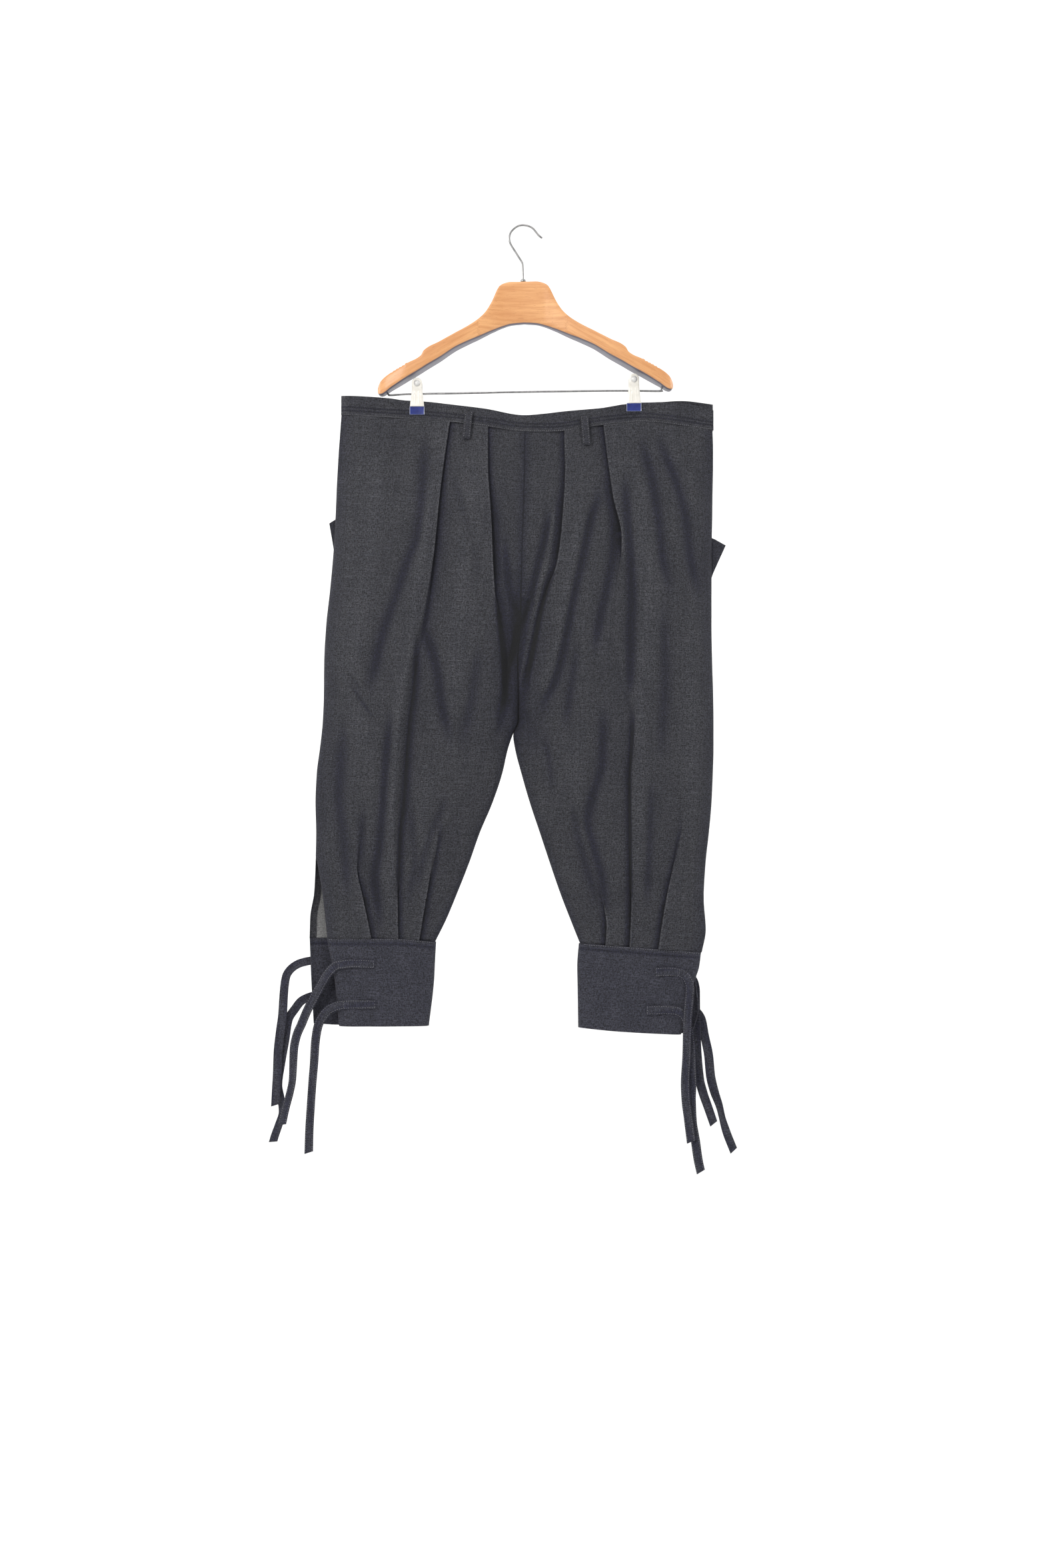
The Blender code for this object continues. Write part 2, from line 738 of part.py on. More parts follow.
def panel_row(side, face, level_drop, edges):
    """The points of one level of a panel, from its outer edge to its inner edge."""
    panel = f"{face}_{side}"
    turn = inward(side)
    folds = FOLDS[panel]
    outer, inner = edges
    places = [(outer, outer, None, None)]
    start = outer
    groups = [fold.columns(level_drop, edges, turn) for fold in folds]
    for number, count in enumerate(PLAIN_COLUMNS[face]):
        stop = groups[number][0][0] if number < len(groups) else inner
        for i in range(1, count + 1):
            share = i / (count + 1)
            if number == 0:
                share = 1.0 - math.cos(share * math.pi / 2.0)
            elif number == len(groups):
                share = math.sin(share * math.pi / 2.0)
            x = mix(start, stop, share)
            places.append((x, x, None, None))
        if number < len(groups):
            places += [(x, read, layer, number) for x, read, layer in groups[number]]
            start = groups[number][-1][0]
    places.append((inner, inner, None, None))
    row = []
    low, high = min(outer, inner), max(outer, inner)
    for x, read, layer, own in places:
        read = min(max(read, low), high)
        height = crease_height(panel, read, level_drop)
        for number, fold in enumerate(folds):
            if number == own and layer is not None:
                height += layer * fold.step(level_drop)
            else:
                height += fold.raise_at(read, level_drop, edges, turn)
        edge_fade = min(1.0, abs(read - outer) / 14.0, abs(read - inner) / 10.0)
        depth = half_depth(side, face, read, level_drop, edges) + height * edge_fade
        row.append((x, away(face) * depth))
    return row


def panel_drop(side, face, level_drop, x):
    """A level bends to the band's seam at the waist and to the cuff's seam at the ankle."""
    top = LEVELS[0].drop
    bottom = LEVELS[-1].drop
    drop = level_drop + (band_bottom(x) + SEAM_GAP - top) * (1.0 - smoothstep(top, BAND_BLEND_END, level_drop))
    cuff_top = CUFF_LINES[side]["top"](x)
    return drop + (cuff_top - SEAM_GAP - bottom) * smoothstep(CUFF_BLEND_START, bottom, level_drop)


def leg_panel(side, face, collection):
    points = []
    for level in LEVELS:
        if face == "back" and level.drop in BACK_SKIPS:
            continue
        outer, inner = leg_edges(side, face, level.drop)
        turn = inward(side)
        rounding = smoothstep(LEGS_PART_FROM, CROTCH_DROP, level.drop)
        edges = (outer, inner - turn * (SEAM_GAP + DENIM_WALL * rounding) / 2.0)
        row = panel_row(side, face, level.drop, edges)
        points.append([(x, y, panel_drop(side, face, level.drop, x)) for x, y in row])
    # The grid's rows run upwards, so that a front's faces look to the front and a back's to the back.
    ordered = points[::-1] if (side == "left") == (face == "front") else points
    sheet(f"{face}_{side}", ordered, DENIM_WALL, collection, DENIM)


def waistband(collection):
    xs = [p.x for p in BAND]
    front_xs = []
    for first, second in zip(xs, xs[1:]):
        parts = 2 if second - first > 25 else 1
        front_xs += [mix(first, second, i / parts) for i in range(parts)]
    front_xs.append(xs[-1])
    ring = [(x, "front") for x in front_xs[::-1]] + [(x, "back") for x in front_xs]
    points = []
    for share in (0.0, 0.35, 1.0):
        row = []
        for x, face in ring:
            top = band_top(x) - (band_lift(x) if face == "back" else 0.0)
            drop = mix(top, band_bottom(x), share)
            row.append((x, away(face) * (band_deep(x) + BAND_SPREAD * share), drop))
        points.append(row)
    sheet("waistband", points, DOUBLE_WALL, collection, DENIM)


def cuff_surface(side, face, x, drop):
    """y of a cuff's middle, away from the garment's middle plane."""
    return half_depth(side, face, x, min(drop, LEVELS[-1].drop), cuff_edges(side, face, drop))


def cuff(side, collection):
    lines = CUFF_LINES[side]
    turn = inward(side)
    points = []
    for share in (0.0, 0.3, 0.65, 1.0):
        row = []
        for face, shares in (
            ("front", (0, 0.05, 0.12, 0.22, 0.35, 0.5, 0.65, 0.78, 0.88, 0.95, 0.985)),
            ("back", (0.985, 0.95, 0.88, 0.78, 0.62, 0.45, 0.3, 0.16, 0.06, 0)),
        ):
            for across in shares:
                middle = mix(CUFF_TOP, CUFF_HEM, share)
                outer, inner = cuff_edges(side, face, middle)
                x = mix(outer, inner, across)
                drop = mix(lines["top"](x), lines["bottom"](x), share)
                outer, inner = cuff_edges(side, face, drop)
                x = mix(outer, inner, across)
                depth = cuff_surface(side, face, x, drop)
                row.append((x, away(face) * depth, drop))
            if face == "front":
                row.append((cuff_edges(side, face, row[-1][2])[1] + turn * 0.6, 0.0, row[-1][2]))
        points.append(row)
    ordered = points[::-1] if side == "left" else points
    sheet(f"cuff_{side}", ordered, DOUBLE_WALL, collection, DENIM)


def pocket(side, collection):
    curve = bpy.data.curves.new(f"pocket_{side}", "CURVE")
    curve.dimensions = "2D"
    curve.fill_mode = "BOTH"
    curve.extrude = POCKET_WALL / 2.0 * MM
    spline = curve.splines.new("POLY")
    spline.points.add(len(POCKETS[side]) - 1)
    for point, corner in zip(spline.points, POCKETS[side]):
        point.co = (corner.x * MM, -corner.drop * MM, 0.0, 1.0)
    spline.use_cyclic_u = True
    obj = add_object(f"pocket_{side}", curve, collection, DENIM)
    obj.rotation_euler = (math.radians(90.0), 0.0, 0.0)


def outer_cloth(face, x, drop):
    """Depth of the outermost cloth of the band or of the panel under a belt loop."""
    if drop <= band_bottom(x) + SEAM_GAP:
        share = (drop - band_top(x)) / (band_bottom(x) - band_top(x))
        return band_deep(x) + BAND_SPREAD * share + DOUBLE_WALL / 2.0
    side = "left" if x < 0 else "right"
    seam = band_bottom(x)
    level = LEVELS[0].drop + (drop - seam) * (BAND_BLEND_END - LEVELS[0].drop) / (BAND_BLEND_END - seam)
    edges = leg_edges(side, face, level)
    panel = f"{face}_{side}"
    height = sum(fold.raise_at(x, level, edges, inward(side)) for fold in FOLDS[panel])
    return half_depth(side, face, x, level, edges) + max(height, 0.0) + DENIM_WALL / 2.0


def belt_loop(loop, collection):
    stations = 9
    points = []
    for i in range(stations):
        share = i / (stations - 1)
        drop = mix(loop.top, loop.bottom, share)
        x = mix(loop.x_top, loop.x_bottom, share)
        bow = LOOP_BOW * math.sin(math.pi * share) ** 0.5
        reach = range(-2, 3)
        under = max(outer_cloth(loop.face, x + 3.0 * k, drop + dz) for k in reach for dz in (-4, 0, 4))
        y = away(loop.face) * (under + LAY_GAP + 0.2 + LOOP_WALL / 2.0 + bow)
        points.append([(x - LOOP_WIDTH / 2.0, y, drop), (x + LOOP_WIDTH / 2.0, y, drop)])
    sheet(loop.name, points, LOOP_WALL, collection, DENIM)


def tie(name, table, collection):
    """A flat strip along its route: sewn on the cuff first, then hanging."""
    face, *route = table
    side = "left" if "left" in name else "right"
    lay = DOUBLE_WALL / 2.0 + LAY_GAP + TIE_WALL / 2.0 + TIE_SLACK
    known = []
    for point in route:
        y = point.y
        if y is None:
            y = away(face) * (cuff_surface(side, face, point.x, point.drop) + lay)
        known.append((point.x, y, point.drop))
    lengths = [0.0]
    for a, b in zip(known, known[1:]):
        lengths.append(lengths[-1] + math.dist(a, b))
    curves = [smooth_curve(lengths, [p[axis] for p in known]) for axis in range(3)]
    points = []
    for i in range(TIE_STATIONS):
        at = lengths[-1] * i / (TIE_STATIONS - 1)
        here = np.array([curve(at) for curve in curves])
        before = np.array([curve(max(at - 2.0, 0.0)) for curve in curves])
        after = np.array([curve(min(at + 2.0, lengths[-1])) for curve in curves])
        along = (after - before) / np.linalg.norm(after - before)
        across = np.cross(along, (0.0, 1.0, 0.0))
        across /= np.linalg.norm(across)
        points.append([tuple(here - across * TIE_WIDTH / 2.0), tuple(here + across * TIE_WIDTH / 2.0)])
    sheet(name, points, TIE_WALL, collection, DENIM)


def hanger_body(collection):
    bm = bmesh.new()
    rings = []
    for station in HANGER:
        middle = (station.top + station.bottom) / 2.0
        half_height = (station.bottom - station.top) / 2.0
        ring = []
        for i in range(HANGER_SIDES):
            angle = 2.0 * math.pi * (i + 0.5) / HANGER_SIDES
            c, s = math.cos(angle), math.sin(angle)
            y = station.half_depth * math.copysign(abs(c) ** ROUNDNESS, c)
            z = half_height * math.copysign(abs(s) ** ROUNDNESS, s)
            ring.append(bm.verts.new(place(station.x, y, middle - z)))
        rings.append(ring)
    for ring, following in zip(rings, rings[1:]):
        for i in range(HANGER_SIDES):
            j = (i + 1) % HANGER_SIDES
            bm.faces.new((ring[i], ring[j], following[j], following[i]))
    bm.faces.new(rings[-1])
    obj = add_bmesh("hanger_body", bm, collection, WOOD)
    mirror = obj.modifiers.new("other_half", "MIRROR")
    mirror.merge_threshold = 0.0001
    obj.rotation_euler = (0.0, HANGER_TILT, 0.0)
    obj.location.x = HANGER_SHIFT * MM


def wire(name, path, collection, finish):
    curve = bpy.data.curves.new(name, "CURVE")
    curve.dimensions = "3D"
    curve.bevel_depth = WIRE_RADIUS * MM
    curve.bevel_resolution = 2
    curve.use_fill_caps = True
    spline = curve.splines.new("POLY")
    spline.points.add(len(path) - 1)
    for point, at in zip(spline.points, path):
        point.co = (*place(*at), 1.0)
    add_object(name, curve, collection, finish)


def ferrule(collection):
    """A turned collar round the hook's stem, on top of the wood."""
    x, drop = HOOK_PATH[0]
    inner = WIRE_RADIUS + 0.35
    top = drop + 0.3
    profile = (
        (inner, top),
        (FERRULE_RADIUS - 0.8, top),
        (FERRULE_RADIUS, top + 0.9),
        (FERRULE_RADIUS, top + FERRULE_HEIGHT - 0.4),
        (inner, top + FERRULE_HEIGHT - 0.4),
    )
    mesh = bpy.data.meshes.new("ferrule")
    bm = bmesh.new()
    verts = [bm.verts.new((radius * MM, 0.0, (drop - level) * MM)) for radius, level in profile]
    for first, second in zip(verts, verts[1:] + verts[:1]):
        bm.edges.new((first, second))
    bm.to_mesh(mesh)
    bm.free()
    obj = add_object("ferrule", mesh, collection, WIRE)
    obj.location = place(x, 0.0, drop)
    screw = obj.modifiers.new("turn", "SCREW")
    screw.steps = 20
    screw.render_steps = 20
    screw.use_merge_vertices = True
    screw.merge_threshold = 0.00005


def clip(spec, collection):
    for face in ("front", "back"):
        out = away(face)
        points = []
        for station in JAW:
            drop = mix(spec.head, spec.pad_top, station.share)
            y = out * station.out
            xs = (-1.0, -0.62, 0.0, 0.62, 1.0)
            crown = (0.9, 0.15, 0.0, 0.15, 0.9)
            points.append(
                [(spec.x + k * station.half_width, y - out * c, drop) for k, c in zip(xs, crown)]
            )
        ordered = points if face == "back" else points[::-1]
        sheet(f"clip_{spec.name}_{face}", ordered, JAW_WALL, collection, CREAM)

        reach = band_deep(spec.x) + BAND_SPREAD * 0.85 + DOUBLE_WALL / 2.0
        bm = bmesh.new()
        bmesh.ops.create_cube(bm, size=1.0)
        bmesh.ops.scale(bm, vec=(PAD_WIDTH * MM, PAD_WALL * MM, PAD_LENGTH * MM), verts=bm.verts)
        pad = add_bmesh(f"pad_{spec.name}_{face}", bm, collection, VINYL)
        y = out * (reach + LAY_GAP + PAD_WALL / 2.0)
        pad.location = place(spec.x, y, spec.pad_top + 0.6 + PAD_LENGTH / 2.0)
        edge = pad.modifiers.new("edge", "BEVEL")
        edge.width = 0.0005
        edge.segments = 2

        bm = bmesh.new()
        bmesh.ops.create_uvsphere(bm, u_segments=12, v_segments=8, radius=1.0)
        bmesh.ops.scale(bm, vec=(RIVET_RADIUS * MM, RIVET_HEIGHT * MM, RIVET_RADIUS * MM), verts=bm.verts)
        low = [v for v in bm.verts if v.co.y * out < -1e-6]
        for vert in low:
            vert.co.y = 0.0
        bmesh.ops.remove_doubles(bm, verts=bm.verts, dist=1e-6)
        rivet = add_bmesh(f"rivet_{spec.name}_{face}", bm, collection, CREAM)
        y = out * (JAW[1].out + JAW_WALL / 2.0 + LAY_GAP)
        rivet.location = place(spec.x, y, spec.head + RIVET_DOWN)

    bar_drop = smooth_curve([p[0] for p in BAR_PATH], [p[1] for p in BAR_PATH])(spec.x)
    profile = (
        (SPRING_RADIUS, SPRING_WIDTH / 2.0),
        (SPRING_RADIUS, -SPRING_WIDTH / 2.0),
        (SPRING_BORE, -SPRING_WIDTH / 2.0),
        (SPRING_BORE, SPRING_WIDTH / 2.0),
    )
    mesh = bpy.data.meshes.new(f"spring_{spec.name}")
    bm = bmesh.new()
    verts = [bm.verts.new((radius * MM, 0.0, level * MM)) for radius, level in profile]
    for first, second in zip(verts, verts[1:] + verts[:1]):
        bm.edges.new((first, second))
    bm.to_mesh(mesh)
    bm.free()
    spring = add_object(f"spring_{spec.name}", mesh, collection, WIRE)
    spring.location = place(spec.x, 0.0, bar_drop)
    spring.rotation_euler = (0.0, math.radians(90.0), 0.0)
    screw = spring.modifiers.new("turn", "SCREW")
    screw.steps = 16
    screw.render_steps = 16
    screw.use_merge_vertices = True
    screw.merge_threshold = 0.00005


def main():
    clear_scene()
    collection = bpy.data.collections.new(OBJECT_NAME)
    bpy.context.scene.collection.children.link(collection)
    for side in ("left", "right"):
        for face in ("front", "back"):
            leg_panel(side, face, collection)
        cuff(side, collection)
        pocket(side, collection)
    waistband(collection)
    for loop in LOOPS:
        belt_loop(loop, collection)
    for name, table in TIES.items():
        tie(name, table, collection)
    hanger_body(collection)
    wire("hook", [(x, 0.0, drop) for x, drop in HOOK_PATH], collection, WIRE)
    ferrule(collection)
    wire("bar", [(x, 0.0, drop) for x, drop in BAR_PATH], collection, WIRE)
    for spec in CLIPS:
        clip(spec, collection)


main()
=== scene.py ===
import math

import bmesh
import bpy
import numpy as np
from mathutils import Matrix, Vector


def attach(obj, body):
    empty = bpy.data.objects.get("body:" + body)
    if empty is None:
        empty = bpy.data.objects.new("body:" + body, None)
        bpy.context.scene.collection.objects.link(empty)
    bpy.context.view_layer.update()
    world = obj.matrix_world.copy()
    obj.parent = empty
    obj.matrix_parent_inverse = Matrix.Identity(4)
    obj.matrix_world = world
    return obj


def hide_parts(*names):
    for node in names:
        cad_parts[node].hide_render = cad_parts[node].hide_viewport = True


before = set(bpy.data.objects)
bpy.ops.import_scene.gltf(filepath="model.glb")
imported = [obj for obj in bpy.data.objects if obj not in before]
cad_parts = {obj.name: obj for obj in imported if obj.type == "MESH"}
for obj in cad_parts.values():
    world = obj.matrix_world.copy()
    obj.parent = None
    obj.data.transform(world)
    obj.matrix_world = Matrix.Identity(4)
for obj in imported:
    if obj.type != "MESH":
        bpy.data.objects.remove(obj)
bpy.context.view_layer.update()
scene = bpy.context.scene
print("frame loaded:", len(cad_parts), "nodes")

# tables are in millimetres: x to the right, drop below the hook's crown, y towards the back
mm = 0.001


def smoothStep(low, high, value):
    t = np.clip((value - low) / (high - low), 0.0, 1.0)
    return t * t * (3.0 - 2.0 * t)


def mixed(first, second, share):
    return first + (second - first) * share


def smoothCurve(xs, ys):  # through the points, never swinging past them
    xs = np.array(xs, float)
    ys = np.array(ys, float)
    steps = np.diff(xs)
    slopes = np.diff(ys) / steps
    tangents = np.concatenate(([slopes[0]], np.zeros(len(xs) - 2), [slopes[-1]]))
    for i in range(1, len(xs) - 1):
        if slopes[i - 1] * slopes[i] > 0:
            w1 = 2 * steps[i] + steps[i - 1]
            w2 = steps[i] + 2 * steps[i - 1]
            tangents[i] = (w1 + w2) / (w1 / slopes[i - 1] + w2 / slopes[i])

    def value(at):
        at = np.clip(at, xs[0], xs[-1])
        i = np.clip(np.searchsorted(xs, at, side="right") - 1, 0, len(xs) - 2)
        t = (at - xs[i]) / steps[i]
        return (
            (2 * t**3 - 3 * t**2 + 1) * ys[i]
            + (t**3 - 2 * t**2 + t) * steps[i] * tangents[i]
            + (3 * t**2 - 2 * t**3) * ys[i + 1]
            + (t**3 - t**2) * steps[i] * tangents[i + 1]
        )

    return value


def columnCurve(rows, column, along=0):
    return smoothCurve([r[along] for r in rows], [r[column] for r in rows])


# ---- camera, light and stage ----
studio = {
    "cameraPlace": (-0.003, -3.0, -0.837),
    "lens": 45.9,
    "sensor": 36.0,
    "floorDrop": 2.08,
    "wallBehind": 1.6,
    "stageWidth": 9.0,
    "stageFront": -5.0,
    "bend": 0.5,
    "stageColour": (0.93, 0.93, 0.93),
    "worldColour": (1.0, 1.0, 1.0),
    "worldStrength": 0.4,
}
lamps = {  # place, aim, size, power, colour
    "key": ((-1.5, -2.5, 0.7), (0.0, 0.0, -0.8), 1.3, 58.0, (1.0, 0.99, 0.97)),
    "fill": ((1.9, -2.3, -0.7), (0.0, 0.0, -0.8), 1.8, 14.0, (0.97, 0.98, 1.0)),
    "top": ((0.2, -0.9, 1.9), (0.0, 0.2, -0.9), 1.6, 22.0, (1.0, 1.0, 1.0)),
    "wallLeft": ((-2.4, 0.3, 0.4), (-0.2, 1.6, -0.8), 1.5, 34.0, (1.0, 1.0, 1.0)),
    "wallRight": ((2.4, 0.3, 0.4), (0.2, 1.6, -0.8), 1.5, 34.0, (1.0, 1.0, 1.0)),
}


def aimAt(obj, place, target):
    obj.location = place
    obj.rotation_euler = (Vector(target) - Vector(place)).to_track_quat("-Z", "Y").to_euler()


def makeStudio():
    camera = bpy.data.objects.new("camera", bpy.data.cameras.new("camera"))
    scene.collection.objects.link(camera)
    camera.data.lens = studio["lens"]
    camera.data.sensor_width = studio["sensor"]
    camera.data.clip_end = 40.0
    place = Vector(studio["cameraPlace"])
    aimAt(camera, place, place + Vector((0.0, 1.0, 0.0)))
    scene.camera = camera
    for name, (at, aim, size, power, colour) in lamps.items():
        light = bpy.data.lights.new(name, "AREA")
        light.shape = "DISK"
        light.size = size
        light.energy = power
        light.color = colour
        lamp = bpy.data.objects.new(name, light)
        scene.collection.objects.link(lamp)
        aimAt(lamp, at, aim)
    world = bpy.data.worlds.new("studio")
    world.use_nodes = True
    sky = world.node_tree.nodes["Background"]
    sky.inputs["Color"].default_value = (*studio["worldColour"], 1.0)
    sky.inputs["Strength"].default_value = studio["worldStrength"]
    scene.world = world
    scene.view_settings.view_transform = "Standard"
    # one bent sheet is both floor and backdrop
    bm = bmesh.new()
    bmesh.ops.create_grid(bm, x_segments=1, y_segments=40, size=1.0)
    bend = studio["bend"]
    for vert in bm.verts:
        share = (vert.co.y + 1.0) / 2.0
        turn = np.clip((share - 0.4) / 0.2, 0.0, 1.0) * math.pi / 2.0
        flat = min(share / 0.4, 1.0)
        rise = max((share - 0.6) / 0.4, 0.0)
        y = mixed(studio["stageFront"], studio["wallBehind"] - bend, flat) + bend * math.sin(turn)
        z = -studio["floorDrop"] + bend * (1.0 - math.cos(turn)) + rise * 5.0
        vert.co = (vert.co.x * studio["stageWidth"] / 2.0, y, z)
    bm.normal_update()
    stage = meshPiece("stage", bm, stageFinish(), smooth=True)


# ---- node helpers ----


def addNode(tree, kind, inputs=None, **settings):
    node = tree.nodes.new(kind)
    for key, value in settings.items():
        setattr(node, key, value)
    for key, value in (inputs or {}).items():
        socket = node.inputs[key]
        if isinstance(value, bpy.types.NodeSocket):
            tree.links.new(value, socket)
        else:
            socket.default_value = value
    return node


def mathNode(tree, operation, *values, clamp=False):
    values = dict(enumerate(values))
    return addNode(tree, "ShaderNodeMath", values, operation=operation, use_clamp=clamp).outputs[0]


def mixColour(tree, factor, first, second, blend="MIX"):
    node = addNode(tree, "ShaderNodeMix", data_type="RGBA", blend_type=blend)
    for socket, value in ((node.inputs[0], factor), (node.inputs[6], first), (node.inputs[7], second)):
        if isinstance(value, bpy.types.NodeSocket):
            tree.links.new(value, socket)
        else:
            socket.default_value = value
    return node.outputs[2]


def noiseAt(tree, vector, stretch, detail=2.0, roughness=0.5, shift=(0.0, 0.0, 0.0)):
    mapping = addNode(tree, "ShaderNodeMapping", {"Vector": vector, "Scale": stretch, "Location": shift})
    noise = addNode(
        tree,
        "ShaderNodeTexNoise",
        {"Vector": mapping.outputs[0], "Scale": 1.0, "Detail": detail, "Roughness": roughness},
        noise_dimensions="3D",
    )
    return noise.outputs[0]


def ramped(tree, value, low, high):
    return addNode(
        tree,
        "ShaderNodeMapRange",
        {"Value": value, "From Min": low, "From Max": high, "To Min": 0.0, "To Max": 1.0},
        interpolation_type="SMOOTHSTEP",
    ).outputs[0]


def newGroup(name, sockets):
    group = bpy.data.node_groups.new(name, "ShaderNodeTree")
    for socketName, direction, kind, value in sockets:
        socket = group.interface.new_socket(name=socketName, in_out=direction, socket_type=kind)
        if value is not None:
            socket.default_value = value
    return group, group.nodes.new("NodeGroupInput"), group.nodes.new("NodeGroupOutput")


def useGroup(tree, group, inputs):
    node = tree.nodes.new("ShaderNodeGroup")
    node.node_tree = group
    for key, value in inputs.items():
        socket = node.inputs[key]
        if isinstance(value, bpy.types.NodeSocket):
            tree.links.new(value, socket)
        else:
            socket.default_value = value
    return node


def newMaterial(name, roughness, **sockets):
    material = bpy.data.materials.new(name)
    material.use_nodes = True
    tree = material.node_tree
    shader = tree.nodes["Principled BSDF"]
    shader.inputs["Roughness"].default_value = roughness
    for key, value in sockets.items():
        shader.inputs[key.replace("_", " ")].default_value = value
    return material, tree, shader


def bumpInto(tree, shader, height, distance, strength=1.0):
    bump = addNode(tree, "ShaderNodeBump", {"Height": height, "Distance": distance, "Strength": strength})
    tree.links.new(bump.outputs[0], shader.inputs["Normal"])


# ---- denim ----
denim = {
    "dark": (0.003, 0.0031, 0.0045, 1.0),
    "light": (0.056, 0.0565, 0.067, 1.0),
    # the next three colours paint light and shade into the cloth: shade in its valleys, shadow under its pleats, a
    # highlight on its crests
    "valley": (0.33, 0.33, 0.56, 1.0),
    "shadow": (0.2, 0.22, 0.2, 1.0),
    "paintedCrestHighlight": (1.75, 1.75, 1.68, 1.0),
    "cloud": (0.66, 0.67, 0.72, 1.0),
    "fleck": (0.17, 0.17, 0.18, 1.0),
    "threadSize": 1.6,
    "threadStretch": 3.5,
    "insideDark": (0.11, 0.11, 0.112, 1.0),
    "insideLight": (0.27, 0.27, 0.27, 1.0),
}


def weaveGroup():
    group, start, end = newGroup(
        "denimWeave",
        (
            ("Vector", "INPUT", "NodeSocketVector", None),
            ("Thread", "OUTPUT", "NodeSocketFloat", None),
            ("Fleck", "OUTPUT", "NodeSocketFloat", None),
            ("Cloud", "OUTPUT", "NodeSocketFloat", None),
            ("Height", "OUTPUT", "NodeSocketFloat", None),
        ),
    )
    size = 1000.0 / denim["threadSize"]
    along = size / denim["threadStretch"]
    vector = start.outputs["Vector"]
    warp = noiseAt(group, vector, (size, along, 1.0), 1.0)
    weft = noiseAt(group, vector, (along, size, 1.0), 1.0, shift=(3.1, 7.7, 0.0))
    slub = noiseAt(group, vector, (35.0, 700.0, 1.0), 0.0, shift=(9.3, 1.2, 0.0))
    speck = noiseAt(group, vector, (size * 0.8, size * 0.8, 1.0), 1.5, 0.7, shift=(5.0, 5.0, 0.0))
    patches = noiseAt(group, vector, (26.0, 15.0, 1.0), 3.0, 0.6)
    streaks = noiseAt(group, vector, (260.0, 16.0, 1.0), 2.0, 0.6, shift=(4.4, 2.2, 0.0))
    bars = noiseAt(group, vector, (14.0, 230.0, 1.0), 2.0, 0.6, shift=(7.4, 6.2, 0.0))
    cloud = mathNode(group, "MULTIPLY_ADD", streaks, 0.4, mathNode(group, "MULTIPLY", patches, 0.3))
    cloud = mathNode(group, "MULTIPLY_ADD", bars, 0.3, cloud)
    crossed = mathNode(group, "MULTIPLY", warp, 0.28)
    crossed = mathNode(group, "MULTIPLY_ADD", weft, 0.26, crossed)
    crossed = mathNode(group, "MULTIPLY_ADD", speck, 0.54, crossed)
    raised = mathNode(group, "MULTIPLY", ramped(group, slub, 0.64, 0.8), 0.1)
    thread = mathNode(group, "ADD", crossed, raised)
    twill = addNode(
        group,
        "ShaderNodeTexWave",
        {"Vector": vector, "Scale": 330.0, "Distortion": 1.2, "Detail": 0.0},
        bands_direction="DIAGONAL",
    ).outputs[1]
    height = mathNode(group, "MULTIPLY_ADD", thread, 1.5, mathNode(group, "MULTIPLY", twill, 0.25))
    dots = noiseAt(group, vector, (620.0, 620.0, 1.0), 0.0, shift=(2.0, 4.0, 0.0))
    fleck = ramped(group, dots, 0.77, 0.82)
    for name, value in (("Thread", thread), ("Fleck", fleck), ("Cloud", cloud), ("Height", height)):
        group.links.new(value, end.inputs[name])
    return group


def denimMaterial(name, group, light=1.0):
    material, tree, shader = newMaterial(name, 0.88, Sheen_Weight=0.03, Sheen_Roughness=0.5)
    uv = addNode(tree, "ShaderNodeUVMap", uv_map="cloth").outputs[0]
    weave = useGroup(tree, group, {"Vector": uv})
    share = ramped(tree, weave.outputs["Thread"], 0.36, 0.72)
    dark = tuple(c * light for c in denim["dark"][:3]) + (1.0,)
    pale = tuple(c * light for c in denim["light"][:3]) + (1.0,)
    colour = mixColour(tree, share, dark, pale)
    clouded = ramped(tree, weave.outputs["Cloud"], 0.38, 0.62)
    colour = mixColour(tree, clouded, colour, denim["cloud"], "MULTIPLY")
    specks = mathNode(tree, "MULTIPLY", weave.outputs["Fleck"], 0.5)
    colour = mixColour(tree, specks, colour, denim["fleck"])
    # the fold attribute paints light and shade into the colour: bluish shade in the valleys, a shadow where it is
    # deepest, a highlight on the crests
    fold = addNode(tree, "ShaderNodeAttribute", attribute_name="fold").outputs["Fac"]
    deep = mathNode(tree, "MULTIPLY", fold, 1.0, clamp=True)
    paintedValleyShadeMask = mathNode(tree, "MULTIPLY", deep, 2.0, clamp=True)
    colour = mixColour(tree, paintedValleyShadeMask, colour, denim["valley"], "MULTIPLY")
    pit = mathNode(tree, "MULTIPLY_ADD", deep, 2.0, -1.0, clamp=True)
    colour = mixColour(tree, pit, colour, denim["shadow"], "MULTIPLY")
    paintedCrestHighlight = mathNode(tree, "MULTIPLY", fold, -1.0, clamp=True)
    colour = mixColour(tree, paintedCrestHighlight, colour, denim["paintedCrestHighlight"], "MULTIPLY")
    tree.links.new(colour, shader.inputs["Base Color"])
    bumpInto(tree, shader, weave.outputs["Height"], 0.00035, 0.7)
    return material


def insideMaterial(name, group):
    material, tree, shader = newMaterial(name, 0.88)
    uv = addNode(tree, "ShaderNodeUVMap", uv_map="cloth").outputs[0]
    weave = useGroup(tree, group, {"Vector": uv})
    share = ramped(tree, weave.outputs["Thread"], 0.35, 0.8)
    pale = mixColour(tree, share, denim["insideDark"], denim["insideLight"])
    dark = mixColour(tree, share, denim["dark"], denim["light"])
    hem = addNode(tree, "ShaderNodeAttribute", attribute_name="hem").outputs["Fac"]
    tree.links.new(mixColour(tree, hem, pale, dark), shader.inputs["Base Color"])
    bumpInto(tree, shader, weave.outputs["Height"], 0.00035, 0.7)
    return material


